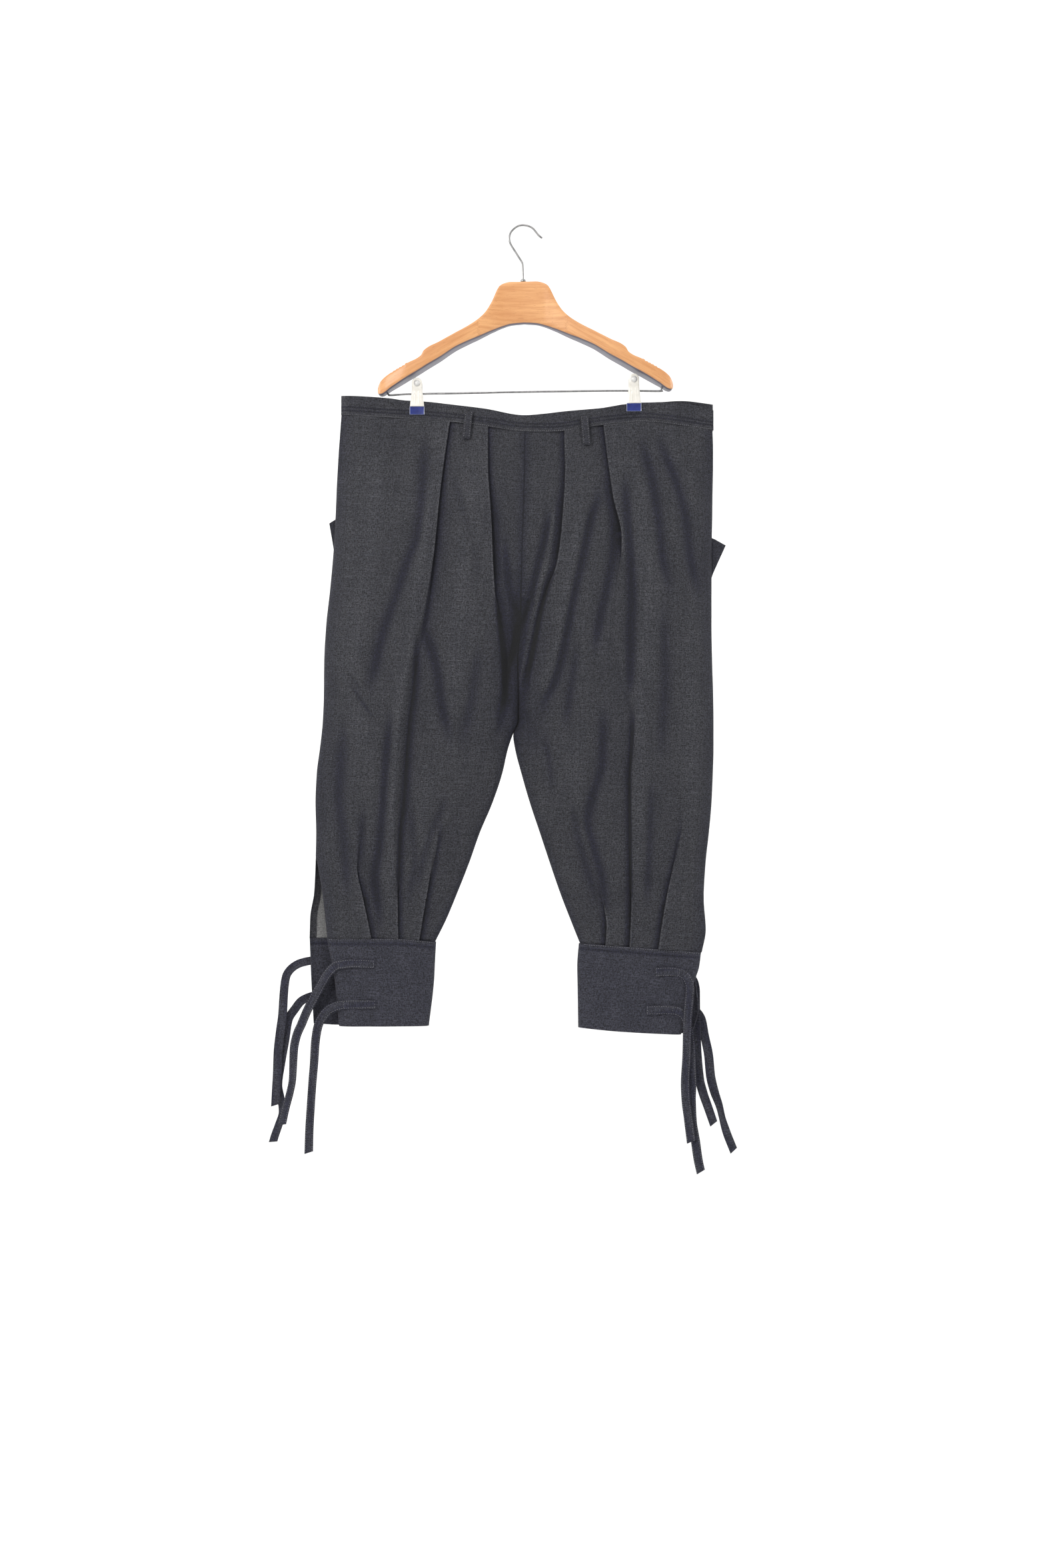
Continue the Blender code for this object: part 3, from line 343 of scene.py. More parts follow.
def threadMaterial(name, low, high):
    material, tree, shader = newMaterial(name, 0.7, Sheen_Weight=0.15)
    place = addNode(tree, "ShaderNodeTexCoord").outputs["Object"]
    twist = ramped(tree, noiseAt(tree, place, (900.0, 900.0, 900.0), 2.0), 0.3, 0.7)
    tree.links.new(mixColour(tree, twist, (*low, 1.0), (*high, 1.0)), shader.inputs["Base Color"])
    bumpInto(tree, shader, twist, 0.0002)
    return material


def stageFinish():
    material, tree, shader = newMaterial("stage", 0.9)
    place = addNode(tree, "ShaderNodeTexCoord").outputs["Object"]
    cloud = noiseAt(tree, place, (0.8, 0.8, 0.8), 2.0)
    pale = (*studio["stageColour"], 1.0)
    near = tuple(c * 0.985 for c in studio["stageColour"]) + (1.0,)
    tree.links.new(mixColour(tree, cloud, near, pale), shader.inputs["Base Color"])
    # the backdrop stands nearer than a camera behind the object, so its back lets the view through
    behind = addNode(tree, "ShaderNodeNewGeometry").outputs["Backfacing"]
    clear = addNode(tree, "ShaderNodeBsdfTransparent").outputs[0]
    shown = addNode(tree, "ShaderNodeMixShader", {0: behind, 1: shader.outputs[0], 2: clear}).outputs[0]
    tree.links.new(shown, tree.nodes["Material Output"].inputs["Surface"])
    return material


# ---- meshes ----


def linked(name, mesh, *materials):
    for material in materials:
        mesh.materials.append(material)
    obj = bpy.data.objects.new(name, mesh)
    scene.collection.objects.link(obj)
    return obj


def meshPiece(name, bm, *materials, smooth=True, recalc=False):
    if recalc:
        bmesh.ops.remove_doubles(bm, verts=bm.verts, dist=1e-6)
        bmesh.ops.recalc_face_normals(bm, faces=bm.faces)
    mesh = bpy.data.meshes.new(name)
    bm.to_mesh(mesh)
    bm.free()
    if smooth:
        mesh.shade_smooth()
    return linked(name, mesh, *materials)


def inMetres(points):
    points = np.asarray(points, float)
    return np.stack((points[..., 0], points[..., 1], -points[..., 2]), axis=-1) * mm


def clothGrid(name, points, wall, materials, fold=None, hem=None, bevel=0.0):
    points = np.asarray(points, float)  # rows by columns by (x, y, drop)
    rows, columns = points.shape[:2]
    bm = bmesh.new()
    bmesh.ops.create_grid(bm, x_segments=columns - 1, y_segments=rows - 1, size=1.0)
    mesh = bpy.data.meshes.new(name)
    bm.to_mesh(mesh)
    bm.free()
    flat = np.empty(len(mesh.vertices) * 3)
    mesh.vertices.foreach_get("co", flat)
    flat = flat.reshape(-1, 3)
    column = np.rint((flat[:, 0] + 1.0) / 2.0 * (columns - 1)).astype(int)
    row = np.rint((flat[:, 1] + 1.0) / 2.0 * (rows - 1)).astype(int)
    mesh.vertices.foreach_set("co", inMetres(points)[row, column].ravel())
    steps = np.linalg.norm(np.diff(points, axis=1), axis=2)
    across = np.concatenate((np.zeros((rows, 1)), np.cumsum(steps, axis=1)), axis=1)
    steps = np.linalg.norm(np.diff(points, axis=0), axis=2)
    along = np.concatenate((np.zeros((1, columns)), np.cumsum(steps, axis=0)))
    down = np.repeat(along.mean(axis=1)[:, None], columns, axis=1)
    uv = np.stack((across, down), axis=-1) * mm
    corner = np.empty(len(mesh.loops), dtype=np.int32)
    mesh.loops.foreach_get("vertex_index", corner)
    layer = mesh.uv_layers.new(name="cloth")
    layer.data.foreach_set("uv", uv[row[corner], column[corner]].ravel())
    # fold carries painted shade and painted highlight into the colour; hem marks the hem
    for label, values in (("fold", fold), ("hem", hem)):
        if values is not None:
            attribute = mesh.attributes.new(label, "FLOAT", "POINT")
            attribute.data.foreach_set("value", np.asarray(values)[row, column].astype(np.float32))
    mesh.shade_smooth()
    obj = linked(name, mesh, *materials)
    solidify = obj.modifiers.new("wall", "SOLIDIFY")
    solidify.thickness = wall * mm
    solidify.offset = 0.0
    if len(materials) > 1:
        solidify.material_offset = 1
    if bevel:
        edge = obj.modifiers.new("edge", "BEVEL")
        edge.width = bevel * mm
        edge.segments = 2
        edge.limit_method = "ANGLE"
        edge.angle_limit = math.radians(60.0)
    return obj


def uvLines(points):
    points = np.asarray(points, float)
    lengths = np.concatenate(([0.0], np.cumsum(np.linalg.norm(np.diff(points, axis=0), axis=1))))
    return lengths, [smoothCurve(lengths, points[:, axis]) for axis in range(3)]


stitch = {"long": 2.5, "gap": 1.0, "wide": 0.42, "high": 0.3}


def addStitches(bm, path, normals, pitch=None, long=None, wide=None):
    # one flattened bead for each stitch, laid along the path with its flat side on the cloth
    lengths, curves = uvLines(path)
    long = long or stitch["long"]
    pitch = pitch or stitch["long"] + stitch["gap"]
    wide = wide or stitch["wide"]
    normalCurves = [smoothCurve(lengths, np.asarray(normals, float)[:, axis]) for axis in range(3)]
    for i in range(int(lengths[-1] / pitch)):
        at = (i + 0.5) * pitch
        here = np.array([curve(at) for curve in curves])
        ahead = np.array([curve(min(at + 0.8, lengths[-1])) for curve in curves])
        behind = np.array([curve(max(at - 0.8, 0.0)) for curve in curves])
        xAxis = Vector(inMetres(ahead - behind)).normalized()
        up = Vector(inMetres([curve(at) for curve in normalCurves])).normalized()
        yAxis = up.cross(xAxis).normalized()
        zAxis = xAxis.cross(yAxis)
        turn = Matrix((xAxis, yAxis, zAxis)).transposed().to_4x4()
        size = Matrix.Diagonal((long / 2.0 * mm, wide * mm, stitch["high"] * mm, 1.0))
        at3d = Matrix.Translation(Vector(inMetres(here)))
        bmesh.ops.create_icosphere(bm, subdivisions=1, radius=1.0, matrix=at3d @ turn @ size)


# ---- the garment's form, as in the CAD source ----
trousers = {
    "wall": 1.2,
    "bandWall": 2.2,
    "seamGap": 0.04,
    "legsPartFrom": 600.0,
    "crotch": 764.0,
    "bandBlendEnd": 440.0,
    "cuffBlendStart": 930.0,
    "cuffTop": 1070.0,
    "cuffHem": 1205.0,
    "pocketOpen": (340.0, 400.0, 515.0, 560.0),
    "rows": 226,
    "columnStep": 2.5,
}
levels = (  # drop, left outer, left inner, right inner, right outer, half depth
    (297, -274.5, 1, 1, 281.5, 14),
    (322, -276, 0, 0, 282, 15),
    (355, -278.5, 0, 0, 282, 18),
    (395, -281, -1, -1, 281.5, 21),
    (440, -283, -2, -2, 281, 24),
    (490, -286, -4, -4, 280, 26),
    (545, -291, -5, -5, 280, 28),
    (600, -297, -6, -6, 280, 29),
    (655, -300, -10, -10, 281, 29),
    (705, -300.5, -9, -9, 282.5, 28),
    (742, -302, -9, -9, 283, 27),
    (764, -304, -18, -17, 283, 26),
    (785, -306.5, -25, -14, 283, 26),
    (820, -311, -33, -5, 282, 26),
    (865, -313, -48, 8, 280, 25),
    (910, -312, -67, 23, 276, 23),
    (955, -313, -83, 38, 271, 20),
    (1000, -315, -101, 54, 268, 17),
    (1040, -321, -118, 70, 271, 14),
    (1072, -322, -134, 83, 265, 12.5),
)
band = (  # x, top, bottom, lift of the back's top edge, half depth at the top
    (-274, 255, 284, 0, 0.8),
    (-262, 255.5, 285, 0, 4.5),
    (-236, 257, 287, 0, 6.5),
    (-205, 259, 288.5, 0, 5),
    (-178, 262, 289.5, 0, 1.7),
    (-145, 264, 291.5, 0, 1.7),
    (-112, 269, 295.5, 0, 9),
    (-60, 276.5, 303, 0, 15),
    (0, 287, 311.5, 2, 18),
    (30, 284.5, 312, 1, 17),
    (57, 281, 310.5, 0, 15),
    (84, 278, 306, 0, 12),
    (112, 275, 301, 0, 9),
    (147, 268, 296, 0, 1.7),
    (180, 265, 294, 0, 1.7),
    (206, 265, 296.5, 2, 5),
    (240, 268, 301.5, 7, 7.5),
    (265, 273, 305, 9, 6),
    (283, 277, 307.5, 10, 4),
)
foldTables = {  # from the outer edge inwards: drop, x (a share of the width on the back), under, step
    "front_left": (
        (
            (290, -205, -8, 0),
            (561, -222, -8, 0),
            (801, -243, -8, 0),
            (891, -245, -6, 2),
            (961, -250, 0, 4),
            (1011, -241, 6, 5),
            (1072, -229, 10, 4),
        ),
        (
            (296, -112, 14, 3.8),
            (330, -117, 12, 5),
            (401, -126, 8, 7),
            (501, -136, 2, 8),
            (591, -152, -7, 7),
            (651, -170, -11, 6),
            (711, -181, -12, 6),
            (801, -190, -12, 6),
            (891, -196, -11, 6),
            (951, -194, -8, 5.5),
            (1000, -190, 0, 5),
            (1072, -189, 10, 4),
        ),
        (
            (303, -55, 14, 3.8),
            (351, -55, 12, 6),
            (441, -50, 8, 9),
            (530, -46, 4, 9),
            (580, -42, -4, 7),
            (651, -34, -8, 5),
            (721, -33, -8, 4),
            (761, -50, -8, 2),
            (801, -70, -8, 0),
            (861, -97, -8, 2),
            (921, -130, -5, 4),
            (1001, -146, 4, 5),
            (1072, -158, 10, 4),
        ),
    ),
    "front_right": (
        (
            (300, 225, -8, 0),
            (501, 235, -8, 0),
            (701, 245, -8, 1),
            (801, 245, -8, 2),
            (901, 235, -5, 3),
            (951, 224, 0, 4),
            (1011, 210, 6, 5),
            (1086, 198, 10, 4),
        ),
        (
            (301, 119, 14, 3.8),
            (350, 125, 12, 5),
            (411, 133, 9, 7),
            (469, 145, 5, 8),
            (531, 143, -5, 4),
            (621, 140, -8, 2),
            (681, 150, -8, 3),
            (731, 163, -5, 6),
            (901, 160, -5, 5.5),
            (1001, 160, 0, 5),
            (1082, 157, 10, 4),
        ),
        (
            (311, 60, 14, 3.8),
            (361, 61, 12, 6),
            (441, 57, 8, 9),
            (501, 50, 4, 9),
            (545, 38, -4, 7),
            (621, 20, -8, 5),
            (681, 10, -8, 4),
            (721, 8, -8, 3),
            (761, 22, -8, 2),
            (821, 60, -8, 0),
            (921, 100, -8, 1),
            (1001, 116, -2, 3),
            (1044, 123, 6, 5),
            (1078, 121, 10, 4),
        ),
    ),
    "back": (
        ((300, 0.34, -8, 0), (700, 0.33, -8, 3), (900, 0.34, -6, 3), (1000, 0.36, 2, 4.5), (1080, 0.37, 10, 4)),
        (
            (300, 0.7, 14, 3.8),
            (400, 0.69, 9, 6),
            (520, 0.68, 0, 7),
            (700, 0.65, -8, 6),
            (900, 0.64, -6, 5),
            (1000, 0.66, 2, 4.5),
            (1080, 0.68, 10, 4),
        ),
    ),
}
# soft folds seen on the cloth: painted shade (negative for a painted highlight on a crest), height towards the
# viewer, reach to its left and to its right, fade at both ends, then drop and x along it
softFolds = {
    "front_left": (
        (0.95, 0, 0.6, 2.2, 12, ((306, -55), (351, -55), (411, -52))),
        (1.0, -1.0, 0.8, 9, 30, ((411, -52), (471, -48), (531, -46))),
        (0.75, -2.0, 2.5, 9, 35, ((560, -43), (591, -40), (651, -34), (700, -32), (740, -40))),
        (0.85, -2.2, 4, 5, 16, ((592, -8), (630, -16), (669, -26), (725, -34))),
        (0.6, 0, 0.6, 2, 12, ((300, -113), (330, -117), (401, -126))),
        (0.55, -1.5, 0.8, 9, 40, ((401, -126), (471, -133), (531, -140), (580, -148), (612, -154))),
        (
            0.42, -3.5, 9, 8, 35,
            ((340, -149), (411, -153), (471, -160), (501, -172), (561, -192), (620, -212), (690, -228)),
        ),
        (
            0.75, -2.5, 2.5, 7, 35,
            ((630, -163), (681, -164), (741, -171), (801, -176), (861, -180), (921, -187), (1000, -189)),
        ),
        (0.5, -3.5, 7, 7, 40, ((741, -200), (801, -206), (861, -210), (921, -215), (981, -223), (1040, -217))),
        (0.5, -3.5, 6, 8, 30, ((610, -148), (651, -135), (681, -128), (711, -125), (760, -114))),
        (0.25, -2.2, 8, 10, 30, ((381, -102), (431, -90), (481, -77), (540, -72))),
        (0.3, -2.5, 8, 9, 30, ((640, -70), (700, -78), (770, -92))),
        (0.4, -2.5, 5, 6, 25, ((480, -29), (520, -26), (560, -20), (592, -6))),
        (0.32, -2.2, 5, 6, 20, ((560, -12), (600, -16), (650, -16))),
        (0.45, -2.0, 3, 4, 12, ((690, -258), (712, -244), (735, -228))),
        (0.35, -1.8, 3, 3, 12, ((672, -262), (688, -250), (700, -242))),
        (0.35, -2.5, 7, 6, 25, ((880, -242), (921, -244), (960, -246))),
        (0.35, -3.0, 9, 9, 40, ((760, -270), (850, -276), (930, -268), (1000, -264))),
        (0.3, -2.2, 7, 7, 30, ((880, -168), (940, -164), (1010, -172))),
        (0.28, -2.0, 6, 6, 25, ((860, -118), (920, -142), (990, -160))),
        (
            -0.3, 2.0, 5, 4, 40,
            ((411, -139), (501, -152), (591, -164), (651, -172), (741, -186), (831, -193), (1000, -198)),
        ),
        (-0.22, 2.5, 16, 14, 60, ((360, -86), (470, -82), (600, -96), (720, -98))),
        (-0.18, 1.5, 14, 12, 60, ((350, -220), (450, -226), (560, -240), (680, -256), (800, -240))),
        (-0.2, 1.5, 8, 8, 40, ((820, -140), (900, -156), (980, -174))),
        (0.7, 0, 0.6, 4.5, 20, ((968, -252), (1011, -241), (1040, -234), (1072, -229))),
        (0.75, 0, 0.6, 4.5, 20, ((960, -191), (1011, -189), (1072, -189))),
        (0.65, 0, 0.6, 4.5, 25, ((900, -126), (951, -134), (1011, -147), (1072, -158))),
    ),
    "front_right": (
        (0.95, 0, 2.2, 0.6, 12, ((312, 60), (361, 61), (409, 59))),
        (1.0, -1.0, 10, 0.8, 25, ((409, 59), (471, 54), (501, 50))),
        (0.8, -2.0, 9, 3, 30, ((515, 46), (561, 31), (621, 18), (681, 6))),
        (0.85, -1.2, 3, 3, 4, ((562, -3), (566, 6), (569, 14))),
        (-0.5, 1.2, 3, 3, 4, ((555, -3), (559, 6), (562, 14))),
        (0.8, 0, 2, 0.6, 12, ((304, 119), (350, 124), (380, 128))),
        (0.9, -1.5, 9, 0.8, 22, ((380, 128), (411, 132), (440, 139), (480, 145))),
        (0.6, -3.5, 6, 8, 35, ((390, 150), (441, 153), (501, 157), (561, 159), (621, 157), (700, 157))),
        (0.95, -2.0, 6, 1.2, 30, ((735, 163), (771, 162), (831, 158), (921, 159), (1011, 160), (1084, 159))),
        (0.55, -3.0, 6, 5, 25, ((441, 36), (471, 31), (501, 23), (531, 16), (561, 9), (600, -3))),
        (-0.45, 2.2, 3.5, 3.5, 25, ((430, 44), (471, 40), (531, 27), (591, 14), (640, 4), (690, -8))),
        (-0.4, 2.6, 5, 5, 30, ((430, 88), (471, 79), (531, 67), (591, 56), (651, 42), (690, 30))),
        (0.6, -3.2, 6, 7, 35, ((411, 109), (441, 99), (501, 86), (561, 72), (621, 61), (681, 46), (715, 30))),
        (0.5, -3.0, 6, 7, 30, ((430, 133), (471, 134), (531, 125), (591, 112), (630, 105))),
        (0.35, -2.5, 6, 6, 25, ((640, 77), (690, 70), (745, 62))),
        (0.4, -3.0, 8, 8, 35, ((330, 177), (381, 190), (441, 199), (501, 205), (540, 214))),
        (0.42, -3.0, 8, 8, 35, ((325, 203), (381, 225), (441, 240), (501, 247), (545, 256))),
        (0.3, -2.5, 8, 9, 40, ((580, 206), (680, 208), (780, 204))),
        (0.45, -3.0, 7, 7, 35, ((741, 117), (801, 116), (861, 100), (891, 94), (930, 103), (981, 117), (1020, 121))),
        (0.25, -2.0, 5, 5, 20, ((771, 31), (801, 37), (840, 41))),
        (0.3, -2.2, 7, 7, 30, ((860, 70), (930, 84), (1000, 104))),
        (0.35, -2.4, 7, 7, 30, ((840, 188), (920, 186), (1000, 182))),
        (-0.22, 2.5, 12, 12, 50, ((420, 170), (500, 182), (600, 184), (700, 182))),
        (-0.25, 1.8, 7, 9, 40, ((690, 168), (780, 172), (880, 170), (980, 170))),
        (-0.2, 1.5, 10, 10, 40, ((760, 80), (850, 74), (940, 96))),
        (-0.2, 2.0, 12, 12, 50, ((600, 244), (720, 246), (860, 246))),
        (0.65, 0, 4.5, 0.6, 20, ((1000, 120), (1044, 123), (1078, 121))),
        (0.65, 0, 4.5, 0.6, 25, ((901, 235), (951, 224), (1011, 210), (1086, 198))),
    ),
    "back_left": (
        (0.45, -5, 12, 12, 45, ((380, -215), (520, -190), (680, -205), (860, -250))),
        (0.4, -4, 10, 10, 45, ((600, -60), (700, -80), (820, -110), (960, -150))),
        (0.35, -3, 8, 8, 35, ((420, -70), (500, -60), (600, -36))),
        (0.35, -3, 9, 9, 40, ((500, -130), (600, -140), (720, -150), (840, -170))),
        (-0.25, 2.5, 14, 14, 40, ((400, -250), (520, -256), (660, -262))),
        (0.35, -2.5, 7, 7, 25, ((700, -250), (740, -234), (790, -214))),
        (0.45, -3, 6, 6, 18, ((765, -30), (800, -50), (840, -84))),
        (0.7, -1, 0.8, 8, 35, ((400, -88), (500, -92), (600, -100))),
        (0.3, -2.5, 8, 8, 30, ((860, -200), (930, -206), (1000, -214))),
    ),
    "back_right": (
        (0.45, -5, 12, 12, 45, ((400, 210), (540, 185), (700, 200), (880, 235))),
        (0.4, -4, 10, 10, 45, ((620, 40), (720, 60), (840, 80), (980, 110))),
        (0.35, -3, 8, 8, 35, ((430, 60), (520, 52), (610, 30))),
        (0.35, -3, 9, 9, 40, ((480, 120), (590, 130), (700, 142), (820, 150))),
        (-0.25, 2.5, 14, 14, 40, ((420, 246), (540, 250), (680, 246))),
        (0.35, -2.5, 7, 7, 25, ((690, 236), (735, 220), (780, 204))),
        (0.45, -3, 6, 6, 18, ((765, 4), (800, 24), (840, 50))),
        (0.7, -1, 8, 0.8, 35, ((400, 84), (500, 88), (600, 96))),
        (0.3, -2.5, 8, 8, 30, ((860, 180), (930, 184), (1000, 190))),
    ),
}
cuffTables = {  # drop and x of the edges; x and drop of the top and the hem
    "left": {
        "inner": ((1072, -134), (1100, -135.5), (1130, -137), (1200, -145)),
        "front": ((1071, -295), (1123, -285), (1200, -277)),
        "back": ((1068, -322), (1121, -320), (1196, -316)),
        "top": ((-322, 1068.5), (-197, 1068), (-134, 1073.5)),
        "bottom": ((-322, 1196), (-277, 1199.5), (-145, 1199.5)),
    },
    "right": {
        "inner": ((1075, 83), (1110, 80.5), (1140, 81), (1202, 82)),
        "front": ((1088, 264), (1111, 261), (1132, 254), (1212, 234)),
        "back": ((1088, 265), (1132, 257), (1173, 261), (1208, 253)),
        "top": ((83, 1075.5), (150, 1080), (264, 1089)),
        "bottom": ((82, 1202), (154, 1208), (234, 1212)),
    },
}
slitTable = ((943, -313), (968, -308), (1009, -301.5), (1071, -295))

bandTop = columnCurve(band, 1)
bandBottom = columnCurve(band, 2)
bandLift = columnCurve(band, 3)
bandDeep = columnCurve(band, 4)
bodyDeep = columnCurve(levels, 5)
edgeCurves = {
    ("left", 0): columnCurve(levels, 1),
    ("left", 1): columnCurve(levels, 2),
    ("right", 1): columnCurve(levels, 3),
    ("right", 0): columnCurve(levels, 4),
}
slitEdge = columnCurve(slitTable, 1)
cuffCurves = {
    side: {key: columnCurve(rows, 1) for key, rows in lines.items()}
    for side, lines in cuffTables.items()
}
bandSpread = 1.5


def quarterRound(t):
    t = np.clip(t, 0.0, 1.0)
    return np.sqrt(1.0 - (1.0 - t) ** 2)


def inward(side):
    return 1.0 if side == "left" else -1.0


def away(face):
    return -1.0 if face == "front" else 1.0


def legEdges(side, face, drop):
    outer = float(edgeCurves[side, 0](drop))
    if side == "left" and face == "front" and drop > slitTable[0][0]:
        outer = float(slitEdge(drop))
    return outer, float(edgeCurves[side, 1](drop))


def cuffEdges(side, face, drop):
    return cuffCurves[side][face](drop), cuffCurves[side]["inner"](drop)


def edgeGap(drop):
    low, full, last, high = trousers["pocketOpen"]
    spread = smoothStep(low, full, drop) * (1.0 - smoothStep(last, high, drop))
    return 0.62 + 0.83 * spread


def halfDepth(side, face, x, drop, edges):
    outer, inner = edges
    width = np.abs(inner - outer)
    fromOuter = np.abs(x - outer)
    share = np.clip(fromOuter / width, 0.0, 1.0)
    deep = bodyDeep(drop)
    dip = 1.0 - 0.14 * (1.0 - smoothStep(0.0, 60.0, width - fromOuter))
    torso = deep * quarterRound(fromOuter / 120.0) * dip
    leg = deep * 2.0 * np.sqrt(share * (1.0 - share))
    depth = edgeGap(drop) + mixed(torso, leg, smoothStep(trousers["legsPartFrom"], trousers["crotch"], drop))
    if face == "front":
        depth = depth + 4.0 * smoothStep(950.0, 1010.0, drop) * (1.0 - smoothStep(0.0, 0.35, share))
    atBand = bandDeep(x) + bandSpread
    return mixed(atBand, depth, smoothStep(levels[0][0], trousers["bandBlendEnd"], drop))


fold = {
    "lead": 14.0,
    "trail": 11.0,
    "round": 2.2,
    "reachOut": 28.0,
    "reachIn": 22.0,
    "samples": (
        0, 0.4, 0.75, 1, 1.25, 1.5, 1.72, 1.9, 2.05, 2.3, 2.65,
        3, 3.35, 3.7, 3.95, 4.1, 4.3, 4.55, 4.85, 5.3, 6,
    ),
}


def splineWeights(samples, count):  # how much each control point tells at each sample
    weights = np.zeros((len(samples), count))
    for row, at in enumerate(samples):
        i = min(int(at), count - 2)
        t = at - i
        parts = (
            (-t + 2 * t**2 - t**3) / 2,
            (2 - 5 * t**2 + 3 * t**3) / 2,
            (t + 4 * t**2 - 3 * t**3) / 2,
            (-(t**2) + t**3) / 2,
        )
        for k, part in enumerate(parts):
            weights[row, min(max(i - 1 + k, 0), count - 1)] += part
    return weights


foldWeights = splineWeights(fold["samples"], 7)


class FoldLine:
    def __init__(self, rows, isShare):
        self.isShare = isShare
        self.line = columnCurve(rows, 1)
        self.under = columnCurve(rows, 2)
        self.step = columnCurve(rows, 3)

    def edge(self, drop, edges):
        at = float(self.line(drop))
        return mixed(edges[0], edges[1], at) if self.isShare else at

    def section(self, drop, edges, turn):
        # the pleat's own stations: x, and height in shares of its step
        edge = self.edge(drop, edges)
        under = float(self.under(drop))
        out, into = fold["reachOut"], fold["reachIn"]
        lead, bend = fold["lead"], fold["round"]
        trail = fold["trail"] + max(0.0, -under) * 0.4
        beyond = -under + bend
        last = max(trail, beyond + 3.0)
        control = (-lead, -bend, 0.0, -under / 2.0, -under, beyond, last)
        heights = (
            0.5 * math.exp(-lead / out),
            0.5 * math.exp(-bend / out),
            0.42,
            0.0,
            -0.42,
            -0.5 * math.exp(-max(beyond, 0.0) / into),
            -0.5 * math.exp(-last / into),
        )
        return edge + turn * (foldWeights @ np.array(control)), foldWeights @ np.array(heights)

    def raiseAt(self, x, drop, edges, turn):
        distance = turn * (x - self.edge(drop, edges))
        reach = np.where(distance < 0, fold["reachOut"], fold["reachIn"])
        height = 0.5 * float(self.step(drop)) * np.exp(-np.abs(distance) / reach)
        return np.where(distance < 0, height, -height)


foldLines = {
    "front_left": [FoldLine(rows, False) for rows in foldTables["front_left"]],
    "front_right": [FoldLine(rows, False) for rows in foldTables["front_right"]],
    "back_left": [FoldLine(rows, True) for rows in foldTables["back"]],
    "back_right": [FoldLine(rows, True) for rows in foldTables["back"]],
}
softLines = {
    panel: [(*row[:5], row[5][0][0], row[5][-1][0], columnCurve(row[5], 1)) for row in rows]
    for panel, rows in softFolds.items()
}
plainCounts = {"front": (34, 20, 22, 26), "back": (40, 34, 40)}


def softFold(panel, x, drop):
    # the height that the soft folds give at one level, and their painted shade and painted highlight
    height, dark, pale = np.zeros_like(x), np.zeros_like(x), np.zeros_like(x)
    for shade, rise, left, right, fade, first, last, line in softLines[panel]:
        if first - fade < drop < last + fade:
            share = smoothStep(first - fade, first + fade, drop)
            share *= 1.0 - smoothStep(last - fade, last + fade, drop)
            aside = x - line(drop)
            near = share * np.exp(-((aside / np.where(aside < 0, left, right)) ** 2))
            wide = share * np.exp(-((aside / (1.5 * max(left, right))) ** 2))
            height += rise * wide
            dark = np.maximum(dark, shade * near)
            pale = np.minimum(pale, shade * near)
    return height, dark + pale * (1.0 - dark)


def unevenness(panel, x, drop):
    # slight ripples that make the cloth hang unevenly
    seed = {"front_left": 0.0, "front_right": 1.7, "back_left": 3.1, "back_right": 4.9}[panel]
    wave = 0.55 * np.sin(x / 17.0 + drop / 90.0 + seed) + 0.4 * np.sin(x / 9.5 - drop / 60.0 + 2.0 * seed)
    wave += 0.3 * np.sin(drop / 23.0 + x / 41.0 + seed) + 0.22 * np.sin(drop / 11.0 - x / 26.0 + 3.0 * seed)
    return 0.8 * wave


def panelRow(side, face, drop, edges):
    panel = f"{face}_{side}"
    turn = inward(side)
    outer, inner = edges
    lines = foldLines[panel]
    sections = [line.section(drop, edges, turn) for line in lines]
    xs, layers, owners = [], [], []
    start = outer
    for number, count in enumerate(plainCounts[face]):
        stop = sections[number][0][0] if number < len(sections) else inner
        share = np.arange(0 if number == 0 else 1, count + 1) / (count + 1)
        if number == 0:
            share = 1.0 - np.cos(share * math.pi / 2.0)
        if number == len(sections):
            share = np.append(np.sin(share * math.pi / 2.0), 1.0)
        xs.append(mixed(start, stop, share))
        layers.append(np.full(len(share), np.nan))
        owners.append(np.full(len(share), -1))
        if number < len(sections):
            xs.append(sections[number][0])
            layers.append(sections[number][1])
            owners.append(np.full(len(sections[number][0]), number))
            start = sections[number][0][-1]
    x, layer, owner = (np.concatenate(part) for part in (xs, layers, owners))
    low, high = min(outer, inner), max(outer, inner)
    read = np.clip(x, low, high)
    height = np.zeros_like(x)
    for number, line in enumerate(lines):
        own = owner == number
        pleated = np.nan_to_num(layer) * float(line.step(drop))
        height += np.where(own, pleated, line.raiseAt(read, drop, edges, turn))
    softHeight, softShade = softFold(panel, x, drop)
    height += softHeight + unevenness(panel, read, drop)
    fade = np.minimum(1.0, np.minimum(np.abs(read - outer) / 14.0, np.abs(read - inner) / 10.0))
    depth = halfDepth(side, face, read, drop, edges) + height * fade
    return x, away(face) * depth, foldShade(panel, x, drop, edges, turn, height, owner, softShade)


shading = {
    "height": 22.0,
    "edge": 0.32,
    "paintedEdgeShadeReach": 16.0,
    "paintedCrestHighlight": 0.8,
    "paintedCrestHighlightReach": 1.1,
    "seam": 0.55,
    "seamReach": 0.8,
    "paintedCrotchShade": 0.3,  # painted shade over the cloth gathered above the crotch
    "paintedCrotchShadeReach": 42.0,
}


